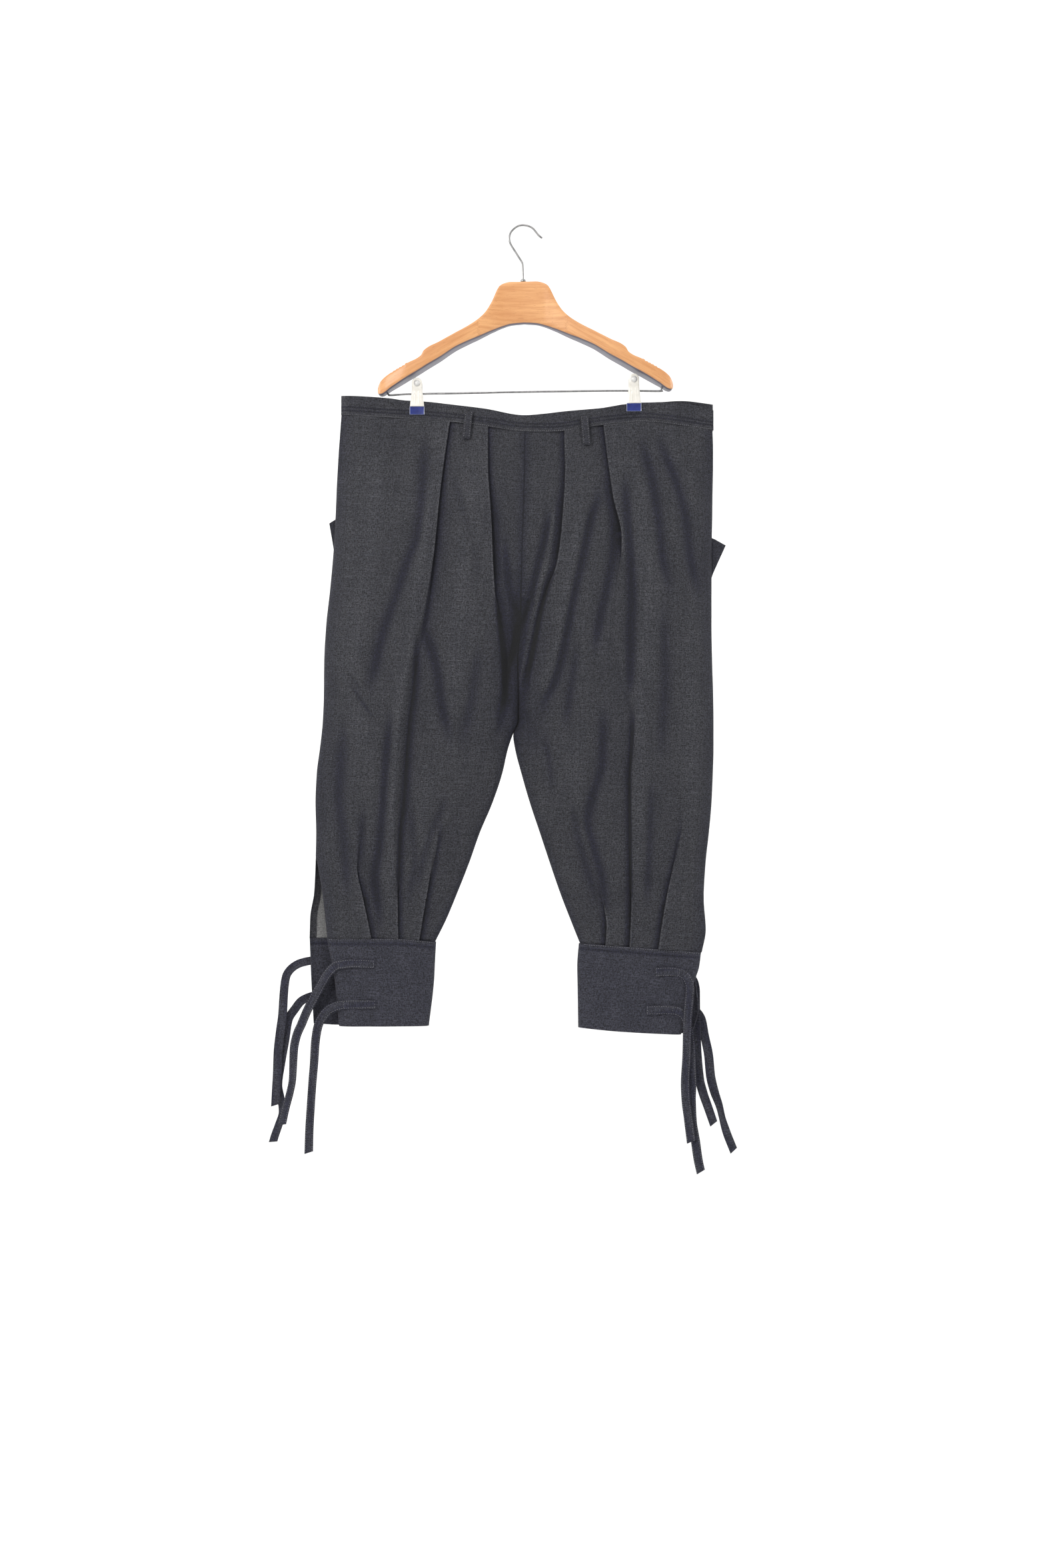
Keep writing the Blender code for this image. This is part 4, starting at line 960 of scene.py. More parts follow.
def foldShade(panel, x, drop, edges, turn, height, owner, softShade):
    # painted shade: how much darker the cloth is made in a fold, with a painted highlight making it paler on a crest
    # painted shade where the cloth lies deeper, painted highlight where it stands out
    shade = softShade + np.clip(-height / shading["height"], -0.12, 0.3)
    # painted shade near the garment's edges, where the cloth turns away
    fromEdge = np.minimum(np.abs(x - edges[0]), np.abs(x - edges[1]) * 2.0)
    shade += shading["edge"] * np.exp(-((fromEdge / shading["paintedEdgeShadeReach"]) ** 2))
    if drop < trousers["crotch"]:
        shade += shading["seam"] * np.exp(-(((x - edges[1]) / shading["seamReach"]) ** 2))
    # painted shade over the cloth gathered above the crotch
    if panel.startswith("front"):
        paintedCrotchShade = smoothStep(500.0, 620.0, drop) * (1.0 - smoothStep(750.0, 820.0, drop))
        shade += shading["paintedCrotchShade"] * paintedCrotchShade * np.exp(-(((x + 8.0) / shading["paintedCrotchShadeReach"]) ** 2))
    for number, line in enumerate(foldLines[panel]):
        step = float(line.step(drop))
        under = float(line.under(drop))
        own = owner == number
        below = own & (np.arange(len(x)) > np.argmax(own) + 8)  # stations under the pleat's edge
        if step > 1.0 and under > 0.0:
            distance = turn * (x - line.edge(drop, edges))
            # painted shadow: the stations under the pleat's edge are made fully dark
            shade = np.where(below & (distance < 0.3), 1.0, shade)
            # painted highlight along the crest of the pleat's edge
            paintedCrestHighlightMask = np.exp(-(((distance + 0.8) / shading["paintedCrestHighlightReach"]) ** 2)) * own * ~below
            shade = shade * (1.0 - paintedCrestHighlightMask) - shading["paintedCrestHighlight"] * paintedCrestHighlightMask * min(1.0, under / 3.0)
    return np.clip(shade, -1.0, 1.0)


def panelDrop(side, levelDrop, x):
    top, bottom = levels[0][0], levels[-1][0]
    shift = bandBottom(x) + trousers["seamGap"] - top
    drop = levelDrop + shift * (1.0 - smoothStep(top, trousers["bandBlendEnd"], levelDrop))
    seam = cuffCurves[side]["top"](x) - trousers["seamGap"] - bottom
    return drop + seam * smoothStep(trousers["cuffBlendStart"], bottom, levelDrop)


def makePanel(side, face, materials):
    turn = inward(side)
    points, shades, hems = [], [], []
    for drop in np.linspace(levels[0][0], levels[-1][0], trousers["rows"]):
        outer, inner = legEdges(side, face, drop)
        rounding = smoothStep(trousers["legsPartFrom"], trousers["crotch"], drop)
        inset = turn * (0.2 + 1.0 * rounding) / 2.0
        x, y, shade = panelRow(side, face, drop, (outer, inner - inset))
        if side == "left":  # the seam's allowance lies under the right side, down to the crotch
            room = float(np.clip((abs(y[-1]) - 1.4) / 2.1, 0.0, 1.0))
            tuck = np.array([0.3, 0.8, 3.0, 6.0]) * room + np.arange(1, 5) * 0.05
            sink = np.array([0.5, 1.3, 1.9, 2.1]) * room
            x = np.append(x, x[-1] + tuck)
            y = np.append(y, y[-1] - away(face) * sink)
            shade = np.append(shade, [0.4, 0.6, 0.6, 0.6])
        points.append(np.stack((x, y, panelDrop(side, drop, x)), axis=-1))
        shades.append(shade)
        hems.append(1.0 - smoothStep(9.0, 10.0, np.abs(x - outer)))
    if (side == "left") == (face == "front"):  # rows run upwards where that turns the faces outwards
        points, shades, hems = points[::-1], shades[::-1], hems[::-1]
    name = f"{face}_{side}"
    obj = clothGrid(name + "_cloth", points, trousers["wall"], materials, np.array(shades), np.array(hems))
    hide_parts(name)
    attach(obj, "root")
    return obj


def makeBand(materials):
    start, end = band[0][0], band[-1][0]
    xs = np.unique(np.append(np.linspace(start, end, 190), [start + 1.5, start + 4.0]))
    ring = [(x, "front") for x in xs[::-1]] + [(x, "back") for x in xs]
    at = np.array([x for x, _ in ring])
    isBack = np.array([face == "back" for _, face in ring])
    lift = np.where(isBack, bandLift(at), 0.0)
    sign = np.where(isBack, 1.0, -1.0)
    points, shades = [], []
    for share in np.linspace(0.0, 1.0, 36):
        top = bandTop(at) - lift
        drop = mixed(top, bandBottom(at), share)
        fromSeam = (1.0 - share) * (bandBottom(at) - top)
        groove = 0.45 * sum(np.exp(-(((fromSeam - row) / 1.1) ** 2)) for row in (7.0, 12.0))
        pucker = 0.28 * np.sin(at / 2.1 + 5.0 * share) * np.exp(-(((fromSeam - 9.5) / 5.0) ** 2))
        roll = 0.5 * np.sin(at / 19.0 + 3.0 * sign) * np.sin(math.pi * share)
        edge = np.minimum(1.0, (at - band[0][0]) / 6.0)
        depth = bandDeep(at) + bandSpread * share + (roll + pucker - groove) * edge
        points.append(np.stack((at, sign * depth, drop), axis=-1))
        shades.append(np.clip(groove * 1.6 + 0.12 * np.sin(at / 31.0) ** 2, 0.0, 1.0))
    obj = clothGrid("waistband_cloth", points, trousers["bandWall"], materials, np.array(shades), bevel=0.6)
    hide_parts("waistband")
    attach(obj, "root")
    return obj


def cuffSurface(side, face, x, drop):
    return halfDepth(side, face, x, min(drop, levels[-1][0]), cuffEdges(side, face, drop))


def cuffRipple(side, x, drop):
    phase = 0.0 if side == "left" else 2.0
    return 0.7 * np.sin(x / 21.0 + drop / 60.0 + phase) + 0.35 * np.sin(x / 8.0 - drop / 25.0 + phase)


def makeCuff(side, materials):
    lines = cuffCurves[side]
    turn = inward(side)
    points, shades = [], []
    for share in np.linspace(0.0, 1.0, 62):
        row, shade = [], []
        for face in ("front", "back"):
            across = np.linspace(0.0, 1.0, 78)
            across = mixed(across, np.sin(across * math.pi / 2.0), 0.75) * 0.985
            if face == "back":
                across = across[::-1]
            middle = mixed(trousers["cuffTop"], trousers["cuffHem"], share)
            for part in across:
                outer, inner = cuffEdges(side, face, middle)
                x = mixed(outer, inner, part)
                drop = mixed(lines["top"](x), lines["bottom"](x), share)
                outer, inner = cuffEdges(side, face, drop)
                x = mixed(outer, inner, part)
                fade = min(1.0, abs(x - outer) / 16.0, abs(x - inner) / 12.0)
                ripple = cuffRipple(side, x, drop) * fade * min(1.0, share * 6.0 + 0.2)
                depth = cuffSurface(side, face, x, drop) + ripple
                fromTop = share * (lines["bottom"](x) - lines["top"](x))
                groove = 0.4 * math.exp(-(((fromTop - 8.0) / 1.6) ** 2))
                depth -= groove * fade
                row.append((x, away(face) * depth, drop))
                shade.append(min(1.0, groove * 1.3 + 0.25))
            if face == "front":
                row.append((cuffEdges(side, face, row[-1][2])[1] + turn * 0.6, 0.0, row[-1][2]))
                shade.append(0.3)
        points.append(row)
        shades.append(shade)
    if side == "left":
        points, shades = points[::-1], shades[::-1]
    name = f"cuff_{side}"
    obj = clothGrid(name + "_cloth", points, trousers["bandWall"], materials, np.array(shades), bevel=0.6)
    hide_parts(name)
    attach(obj, "root")
    return obj


# ---- pockets ----
pocketTables = {  # drop and x of the outer edge, and the bag's inner x
    "left": ((330, -268), (436, -274), (439, -282), (446, -293), (481, -287), (511, -283), (545, -270), (560, -262)),
    "right": ((345, 268), (467, 279), (470, 286), (479, 302), (501, 292), (521, 283), (560, 270), (575, 262)),
}
pocketInner = {"left": -205.0, "right": 205.0}


def makePocket(side, materials):
    rows = pocketTables[side]
    drops = np.unique(np.concatenate([np.linspace(a[0], b[0], 14) for a, b in zip(rows, rows[1:])]))
    outer = np.interp(drops, [r[0] for r in rows], [r[1] for r in rows])
    points = []
    for drop, x in zip(drops, outer):
        share = np.linspace(0.0, 1.0, 34) ** 0.6
        at = mixed(pocketInner[side], x, share)
        bow = 0.5 * np.sin(drop / 14.0) * smoothStep(0.85, 1.0, share)
        points.append(np.stack((at, bow, np.full(len(at), drop)), axis=-1))
    points = points if side == "right" else points[::-1]
    name = f"pocket_{side}"
    # the pocket's cloth is given an even painted shade through the fold attribute
    obj = clothGrid(name + "_cloth", points, 1.6, materials, np.full((len(points), 34), 0.3), bevel=0.4)
    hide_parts(name)
    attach(obj, "root")
    return obj


# ---- belt loops ----
loops = (  # node, face, x at the top and the bottom, top and bottom drops
    ("belt_loop_front_left", "front", -83, -87, 281.5, 322),
    ("belt_loop_front_right", "front", 89, 93, 288, 331),
    ("belt_loop_back_left", "back", -87, -88, 281, 323),
    ("belt_loop_back_right", "back", 90, 91, 286, 328),
)


def outerCloth(face, x, drop):
    if drop <= bandBottom(x) + trousers["seamGap"]:
        share = (drop - bandTop(x)) / (bandBottom(x) - bandTop(x))
        return float(bandDeep(x) + bandSpread * share + trousers["bandWall"] / 2.0)
    side = "left" if x < 0 else "right"
    seam = bandBottom(x)
    top, end = levels[0][0], trousers["bandBlendEnd"]
    level = top + (drop - seam) * (end - top) / (end - seam)
    edges = legEdges(side, face, level)
    height = sum(float(line.raiseAt(x, level, edges, inward(side))) for line in foldLines[f"{face}_{side}"])
    return float(halfDepth(side, face, x, level, edges)) + max(height, 0.0) + trousers["wall"] / 2.0


def makeLoop(spec, materials, palePiece):
    name, face, xTop, xBottom, top, bottom = spec
    points, sides = [], {-1: [], 1: []}
    for share in np.linspace(0.0, 1.0, 30):
        drop = mixed(top, bottom, share)
        x = mixed(xTop, xBottom, share)
        under = max(outerCloth(face, x + 3.0 * k, drop + dz) for k in range(-2, 3) for dz in (-4, 0, 4))
        bow = 2.6 * math.sin(math.pi * share) ** 0.5
        y = under + 1.45 + bow
        row = []
        for across in np.linspace(-1.0, 1.0, 13):
            groove = 0.3 * math.exp(-(((abs(across) - 0.68) / 0.1) ** 2))
            row.append((x + across * 6.0, away(face) * (y - groove), drop))
        points.append(row)
        for edge in (-1, 1):
            sides[edge].append((x + edge * 4.1, away(face) * (y + 0.75), drop))
    points = points[::-1] if face == "front" else points
    # the loop's cloth is given a slight even painted shade through the fold attribute
    obj = clothGrid(name + "_cloth", points, 1.8, materials, np.full((30, 13), 0.15), bevel=0.45)
    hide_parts(name)
    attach(obj, "root")
    normal = (0.0, away(face), 0.0)
    for edge in (-1, 1):
        addStitches(palePiece, sides[edge], [normal] * 30, wide=0.3)
    for which in (0, -1):
        ends = [sides[-1][which], sides[1][which]]
        shift = 1.2 if which == 0 else -1.2
        ends = [(x, y, drop + shift) for x, y, drop in ends]
        addStitches(palePiece, ends, [normal] * 2, wide=0.34, pitch=2.6, long=2.2)
    return obj


# ---- ties: x, drop, y, with None where the tie is sewn on its cuff ----
tieShape = {"width": 13.0, "wall": 1.8, "lay": 2.2 / 2 + 0.35 + 0.9 + 0.5, "slant": 2.5}
tieRoutes = {
    "tie_left_back_upper": (
        (-262, 1101, None),
        (-290, 1101, None),
        (-314, 1102, None),
        (-336, 1106, 7),
        (-350, 1114, 5),
        (-358, 1126, 3),
        (-361, 1148, 1),
        (-363, 1182, 0),
        (-367, 1213, 0),
        (-370, 1241, 0),
        (-371, 1271, -1),
        (-373, 1301, -1),
        (-374, 1319, -1),
    ),
    "tie_left_back_lower": (
        (-262, 1153, None),
        (-290, 1153, None),
        (-314, 1155, None),
        (-335, 1163, 9),
        (-345, 1175, 8),
        (-355, 1191, 7),
        (-360, 1221, 6),
        (-366, 1256, 6),
        (-370, 1289, 6),
        (-366, 1311, 6),
        (-364, 1330, 6),
        (-370, 1351, 6),
        (-375, 1365, 6),
        (-378, 1375, 6),
    ),
    "tie_left_front_upper": (
        (-224, 1106, None),
        (-255, 1105, None),
        (-280, 1108, None),
        (-293, 1119, -11.5),
        (-304, 1137, -10.5),
        (-314, 1155, -10),
        (-325, 1176, -9.5),
        (-333, 1195, -9),
        (-341, 1214, -9),
        (-345, 1234, -9),
        (-346, 1256, -9),
        (-347, 1278, -9),
        (-351, 1299, -8),
        (-357, 1321, -8),
        (-363, 1347, -8),
    ),
    "tie_left_front_lower": (
        (-222, 1166, None),
        (-250, 1166, None),
        (-272, 1167, None),
        (-290, 1173, -11),
        (-302, 1185, -10),
        (-309, 1200, -9),
        (-313, 1224, -8),
        (-315, 1256, -8),
        (-317, 1278, -7),
        (-320, 1321, -7),
        (-322, 1354, -7),
        (-323, 1389, -7),
    ),
    "tie_right_front_upper": (
        (195, 1118, None),
        (215, 1117, None),
        (232, 1119, None),
        (243, 1127, -15),
        (247, 1142, -16.5),
        (245, 1166, -18),
        (243, 1190, -17.5),
        (242, 1242, -14.5),
        (240, 1285, -12),
        (241, 1307, -12),
        (245, 1339, -12),
        (249, 1372, -12),
    ),
    "tie_right_front_lower": (
        (182, 1175, None),
        (205, 1174.5, None),
        (222, 1175, None),
        (236, 1181, -14),
        (243, 1194, -12.5),
        (247, 1213, -11),
        (250, 1253, -9),
        (251, 1285, -7),
        (250, 1307, -7),
        (251, 1339, -7),
        (256, 1372, -7),
        (260, 1400, -7),
        (264, 1418, -7),
    ),
    "tie_right_back_upper": (
        (200, 1122, None),
        (225, 1121, None),
        (243, 1124, None),
        (255, 1134, 10.5),
        (258, 1150, 10.5),
        (258, 1176, 10),
        (259, 1231, 6),
        (263, 1281, 3),
        (268, 1301, 0),
        (275, 1321, 0),
        (284, 1347, 0),
    ),
    "tie_right_back_lower": (
        (200, 1174, None),
        (225, 1173.5, None),
        (243, 1174, None),
        (259, 1180, 14),
        (267, 1192, 14),
        (271, 1215, 11),
        (277, 1245, 9),
        (280, 1276, 9),
        (286, 1301, 9),
        (293, 1321, 9),
        (298, 1341, 9),
        (304, 1361, 9),
        (315, 1389, 9),
    ),
}
tieTwists = {  # share of the length, and how far the strip is turned there
    "tie_right_back_lower": ((0.0, 0.0), (0.6, 10.0), (0.8, 50.0), (0.9, 20.0), (1.0, 0.0)),
    "tie_right_front_upper": ((0.0, 0.0), (0.3, 20.0), (0.6, 12.0), (1.0, 25.0)),
    "tie_left_front_upper": ((0.0, 0.0), (0.3, 18.0), (0.6, 10.0), (0.8, 28.0), (1.0, 20.0)),
    "tie_left_back_lower": ((0.0, 0.0), (0.5, 15.0), (0.8, 30.0), (1.0, 10.0)),
}


def makeTie(name, route, materials, thread, number):
    side = "left" if "left" in name else "right"
    face = "front" if "front" in name else "back"
    known = []
    for x, drop, y in route:
        if y is None:
            y = away(face) * (cuffSurface(side, face, x, drop) + tieShape["lay"])
        known.append((x, float(y), drop))
    lengths, curves = uvLines(known)
    total = lengths[-1]
    twist = tieTwists.get(name, ((0.0, 0.0), (0.5, 8.0), (1.0, 14.0)))
    turnAt = smoothCurve([t[0] for t in twist], [math.radians(t[1]) for t in twist])
    stations = int(total / 3.0)
    points, path, edgeRows, normals, shades = [], [], {-1: [], 1: []}, [], []
    for i in range(stations + 1):
        share = i / stations
        at = total * share
        here = np.array([float(curve(at)) for curve in curves])
        before = np.array([float(curve(max(at - 2.0, 0.0))) for curve in curves])
        after = np.array([float(curve(min(at + 2.0, total))) for curve in curves])
        along = (after - before) / np.linalg.norm(after - before)
        across = np.cross(along, (0.0, 1.0, 0.0))
        across /= np.linalg.norm(across)
        normal = np.cross(across, along)
        angle = float(turnAt(share))
        across = across * math.cos(angle) + normal * math.sin(angle)
        normal = np.cross(across, along)
        if normal[1] * away(face) < 0:
            normal = -normal
        half = tieShape["width"] / 2.0 * (1.0 - 0.05 * math.sin(7.0 * share + number))
        row = []
        for part in np.linspace(-1.0, 1.0, 9):
            cup = 0.5 * (1.0 - part**2) * math.sin(share * math.pi)
            slant = tieShape["slant"] * part * smoothStep(0.97, 1.0, share)
            row.append(here + across * part * half + normal * cup * 0.6 + along * slant)
        points.append(row)
        path.append(here)
        normals.append(normal)
        shades.append([0.2 + 0.25 * math.sin(share * 9.0 + number + k * 0.3) ** 2 for k in range(9)])
        for edge in (-1, 1):
            edgeRows[edge].append(here + across * edge * (half - 1.5) + normal * 0.95)
    ordered, shades = np.array(points), np.array(shades)
    facing = np.cross(ordered[1, 8] - ordered[0, 0], ordered[1, 0] - ordered[0, 8])
    if facing[1] * away(face) < 0:
        ordered, shades = ordered[::-1], shades[::-1]
    obj = clothGrid(name + "_cloth", ordered, tieShape["wall"], materials, shades, bevel=0.45)
    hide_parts(name)
    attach(obj, "root")
    bm = bmesh.new()
    for edge in (-1, 1):
        addStitches(bm, edgeRows[edge], normals, wide=0.34)
    sewn = [i for i in range(len(path)) if abs(path[i][0] - path[0][0]) < abs(route[2][0] - route[0][0])]
    for i in (0, sewn[-1]):
        shift = 1.3 * (path[1] - path[0]) / np.linalg.norm(path[1] - path[0]) * (1 if i == 0 else 0)
        addStitches(bm, [edgeRows[-1][i] + shift, edgeRows[1][i] + shift], [normals[i]] * 2, wide=0.34)
    stitches = meshPiece(name + "_stitches", bm, thread)
    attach(stitches, "root")
    return obj


# ---- stitching along the seams ----


def bandLinePoints(face, fromSeam, count=240):
    xs = np.linspace(band[0][0] + 3.0, band[-1][0] - 2.0, count)
    share = 1.0 - fromSeam / (bandBottom(xs) - bandTop(xs))
    depth = bandDeep(xs) + bandSpread * share + trousers["bandWall"] / 2.0 - 0.12
    return np.stack((xs, away(face) * depth, bandBottom(xs) - fromSeam), axis=-1)


def panelLine(side, face, drops, xOf):
    # a line down a panel, on the cloth's outside
    path = []
    for drop in drops:
        outer, inner = legEdges(side, face, drop)
        x, y, _ = panelRow(side, face, drop, (outer, inner - inward(side) * 0.3))
        at = float(xOf(drop, outer, inner))
        order = np.argsort(x)
        depth = float(np.interp(at, x[order], y[order])) + away(face) * (trousers["wall"] / 2.0 + 0.05)
        path.append((at, depth, float(panelDrop(side, drop, at))))
    return path


def makeStitching(pale, dark):
    darkRows, paleRows = bmesh.new(), bmesh.new()
    for face in ("front", "back"):
        normal = (0.0, away(face), 0.0)
        for fromSeam in (7.0, 12.0):
            path = bandLinePoints(face, fromSeam)
            addStitches(darkRows, path, [normal] * len(path), wide=0.4)
        path = bandLinePoints(face, 1.4)
        addStitches(paleRows, path, [normal] * len(path), wide=0.3, long=2.7, pitch=3.0)
    for side in ("left", "right"):
        for face in ("front", "back"):
            lines = cuffCurves[side]
            outer, inner = (float(v) for v in cuffEdges(side, face, trousers["cuffTop"]))
            xs = np.linspace(outer + inward(side) * 2.0, inner - inward(side) * 3.0, 80)
            for fromTop, target, wide in ((1.4, paleRows, 0.3), (7.2, darkRows, 0.34), (9.0, darkRows, 0.34)):
                path = []
                for x in xs:
                    drop = float(lines["top"](x)) + fromTop
                    fade = min(1.0, abs(x - outer) / 16.0, abs(x - inner) / 12.0)
                    ripple = cuffRipple(side, x, drop) * fade * min(1.0, fromTop / 127.0 * 6.0 + 0.2)
                    groove = 0.4 * math.exp(-(((fromTop - 8.0) / 1.6) ** 2)) * fade
                    depth = cuffSurface(side, face, x, drop) + ripple - groove + trousers["bandWall"] / 2.0
                    path.append((x, away(face) * float(depth), drop))
                addStitches(target, path, [(0.0, away(face), 0.0)] * len(path), wide=wide)
    drops = np.linspace(312.0, 700.0, 130)
    for inset in (13.0, 4.5):
        path = panelLine("right", "front", drops, lambda drop, outer, inner: outer - inset)
        addStitches(darkRows, path, [(0.3, -1.0, 0.0)] * len(path), wide=0.34)
    path = panelLine("right", "front", np.linspace(745.0, 1066.0, 110), lambda drop, outer, inner: inner + 13.0)
    addStitches(darkRows, path, [(0.0, -1.0, 0.0)] * len(path), wide=0.34)
    path = panelLine("left", "front", np.linspace(446.0, 940.0, 150), lambda drop, outer, inner: outer + 10.0)
    addStitches(darkRows, path, [(-0.3, -1.0, 0.0)] * len(path), wide=0.34)
    pieces = []
    for name, bm, thread in (("seam_stitches_dark", darkRows, dark), ("seam_stitches_pale", paleRows, pale)):
        obj = meshPiece(name, bm, thread)
        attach(obj, "root")
        pieces.append(obj)
    return pieces


# ---- hanger ----
hanger = {
    "tilt": math.radians(-1.0),
    "shift": -3.0,
    "power": 0.3,
    "sides": 44,
    "teeth": (179.0, 201.0, 4.6, 0.9),
}
hangerStations = (  # x, top, bottom, half depth
    (0, 84, 147, 7),
    (19, 84, 148.5, 7.5),
    (30, 86.5, 151.5, 8),
    (37, 91, 154, 9),
    (41, 98, 155.6, 9.5),
    (44, 105, 157, 10),
    (48, 113.5, 158.5, 10.6),
    (52, 120.5, 160.3, 11.2),
    (57, 128, 162.6, 12),
    (63, 134.5, 165.4, 12.9),
    (70, 140.5, 168.6, 13.9),
    (78, 146, 171.9, 14.8),
    (88, 152, 176.3, 15.8),
    (103, 160, 183.5, 17),
    (127, 173, 199, 18.5),
    (151, 186.5, 213, 19.5),
    (155, 193.5, 215.5, 19.5),
    (175, 204.5, 227, 19.5),
    (200, 218, 242, 16),
    (216, 230, 251, 11),
    (222, 240, 248, 5),
)


def closedTube(name, rings, *materials, capEnds=True):
    # a grid rolled into a tube, with its two edges merged and its ends closed
    rings = np.asarray(rings, float)
    rows, columns = rings.shape[:2]
    bm = bmesh.new()
    bmesh.ops.create_grid(bm, x_segments=columns, y_segments=rows - 1, size=1.0)
    for vert in bm.verts:
        column = round((vert.co.x + 1.0) / 2.0 * columns) % columns
        row = round((vert.co.y + 1.0) / 2.0 * (rows - 1))
        vert.co = Vector(inMetres(rings[row, column]))
    bmesh.ops.remove_doubles(bm, verts=bm.verts, dist=1e-7)
    if capEnds:
        bmesh.ops.holes_fill(bm, edges=[e for e in bm.edges if e.is_boundary], sides=0)
    bmesh.ops.recalc_face_normals(bm, faces=bm.faces)
    return meshPiece(name, bm, *materials)


def makeHanger(material):
    top, bottom, deep = (columnCurve(hangerStations, k) for k in (1, 2, 3))
    start, stop, pitch, depth = hanger["teeth"]
    spans = ((0.0, 150.0, 50), (150.0, 158.0, 8), (160.0, 216.0, 58), (217.0, 221.5, 6))
    xs = np.unique(np.concatenate([np.linspace(*span) for span in spans]))
    xs = np.concatenate((-xs[:0:-1], xs))
    rings = []
    for x in xs:
        size = abs(x)
        high, low = float(top(size)), float(bottom(size))
        if start < size < stop:
            high += depth * max(0.0, math.sin((size - start) / pitch * 2.0 * math.pi)) ** 0.5
        if size > 176.0 and size < 179.5:
            high -= 0.8
        half = float(deep(size))
        middle, halfHigh = (high + low) / 2.0, (low - high) / 2.0
        if size > 219.0:
            shrink = math.sqrt(max(0.05, 1.0 - ((size - 219.0) / 3.0) ** 2))
            half, halfHigh = half * shrink, halfHigh * shrink
        ring = []
        for i in range(hanger["sides"]):
            angle = 2.0 * math.pi * (i + 0.5) / hanger["sides"]
            c, s = math.cos(angle), math.sin(angle)
            y = half * math.copysign(abs(c) ** hanger["power"], c)
            z = halfHigh * math.copysign(abs(s) ** hanger["power"], s)
            ring.append((x, y, middle - z))
        rings.append(ring)
    obj = closedTube("hanger_wood", rings, material)
    obj.data.transform(Matrix.Translation((hanger["shift"] * mm, 0.0, 0.0)) @ Matrix.Rotation(hanger["tilt"], 4, "Y"))
    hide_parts("hanger_body")
    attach(obj, "root")
    return obj


def woodMaterial():
    material, tree, shader = newMaterial(
        "lacqueredWood", 0.5, Coat_Weight=0.25, Coat_Roughness=0.2, IOR=1.5
    )
    place = addNode(tree, "ShaderNodeTexCoord").outputs["Object"]
    parts = addNode(tree, "ShaderNodeSeparateXYZ", {"Vector": place})
    x, z = parts.outputs[0], parts.outputs[2]
    side = mathNode(tree, "ABSOLUTE", mathNode(tree, "ADD", x, 0.003))
    # grain follows each arm downwards, and runs level in the middle block
    arm = ramped(tree, side, 0.0655, 0.0665)
    sloped = mathNode(tree, "ADD", z, mathNode(tree, "MULTIPLY", side, 0.56))
    height = addNode(tree, "ShaderNodeMix", {0: arm, 2: z, 3: sloped}).outputs[0]
    along = addNode(tree, "ShaderNodeCombineXYZ", {0: x, 1: parts.outputs[1], 2: height}).outputs[0]
    grain = noiseAt(tree, along, (14.0, 130.0, 230.0), 4.0, 0.6)
    pores = noiseAt(tree, along, (90.0, 1400.0, 1700.0), 1.0)
    broad = noiseAt(tree, along, (9.0, 30.0, 30.0), 2.0)
    colour = mixColour(tree, ramped(tree, grain, 0.3, 0.7), (0.6, 0.27, 0.1, 1.0), (0.76, 0.4, 0.17, 1.0))
    streak = mathNode(tree, "MULTIPLY", ramped(tree, broad, 0.35, 0.7), 0.45)
    colour = mixColour(tree, streak, colour, (0.55, 0.23, 0.08, 1.0))
    pore = mathNode(tree, "MULTIPLY", ramped(tree, pores, 0.66, 0.74), 0.6)
    colour = mixColour(tree, pore, colour, (0.36, 0.13, 0.045, 1.0))
    # finger joints between the middle block and the arms
    zigzag = addNode(
        tree, "ShaderNodeTexWave", {"Vector": place, "Scale": 60.0}, bands_direction="Z", wave_profile="TRI"
    ).outputs[1]
    line = mathNode(tree, "ADD", side, mathNode(tree, "MULTIPLY", zigzag, 0.004))
    gap = mathNode(tree, "ABSOLUTE", mathNode(tree, "SUBTRACT", line, 0.068))
    joint = mathNode(tree, "SUBTRACT", 1.0, ramped(tree, gap, 0.0001, 0.0006))
    colour = mixColour(tree, mathNode(tree, "MULTIPLY", joint, 0.5), colour, (0.4, 0.16, 0.05, 1.0))
    # painted shade: the wood turns a dark grey-lavender where its faces point down, standing in for the shade on the
    # underside
    normal = addNode(tree, "ShaderNodeNewGeometry").outputs["Normal"]
    down = addNode(tree, "ShaderNodeSeparateXYZ", {"Vector": normal}).outputs[2]
    under = mathNode(tree, "SUBTRACT", 1.0, ramped(tree, down, -0.75, -0.35))
    colour = mixColour(tree, under, colour, (0.1, 0.092, 0.125, 1.0))
    tree.links.new(colour, shader.inputs["Base Color"])
    bumpInto(tree, shader, grain, 0.0002, 0.4)
    return material


def metalMaterial(name, low, high, roughness):
    material, tree, shader = newMaterial(name, roughness, Metallic=1.0)
    place = addNode(tree, "ShaderNodeTexCoord").outputs["Object"]
    brushed = ramped(tree, noiseAt(tree, place, (300.0, 300.0, 60.0), 3.0), 0.3, 0.7)
    tree.links.new(mixColour(tree, brushed, (*low, 1.0), (*high, 1.0)), shader.inputs["Base Color"])
    rough = addNode(
        tree, "ShaderNodeMapRange", {"Value": brushed, "To Min": roughness * 0.8, "To Max": roughness * 1.3}
    ).outputs[0]
    tree.links.new(rough, shader.inputs["Roughness"])
    bumpInto(tree, shader, brushed, 0.00001, 0.3)
    return material


def paintMaterial(name, low, high, roughness, rim=None, **extra):
    material, tree, shader = newMaterial(name, roughness, **extra)
    place = addNode(tree, "ShaderNodeTexCoord").outputs["Object"]
    mottle = ramped(tree, noiseAt(tree, place, (140.0, 140.0, 140.0), 3.0), 0.3, 0.7)
    colour = mixColour(tree, mottle, (*low, 1.0), (*high, 1.0))
    if rim is not None:
        edge = addNode(tree, "ShaderNodeAttribute", attribute_name="rim").outputs["Fac"]
        colour = mixColour(tree, edge, colour, (*rim, 1.0))
    tree.links.new(colour, shader.inputs["Base Color"])
    bumpInto(tree, shader, mottle, 0.0001, 0.4)
    return material


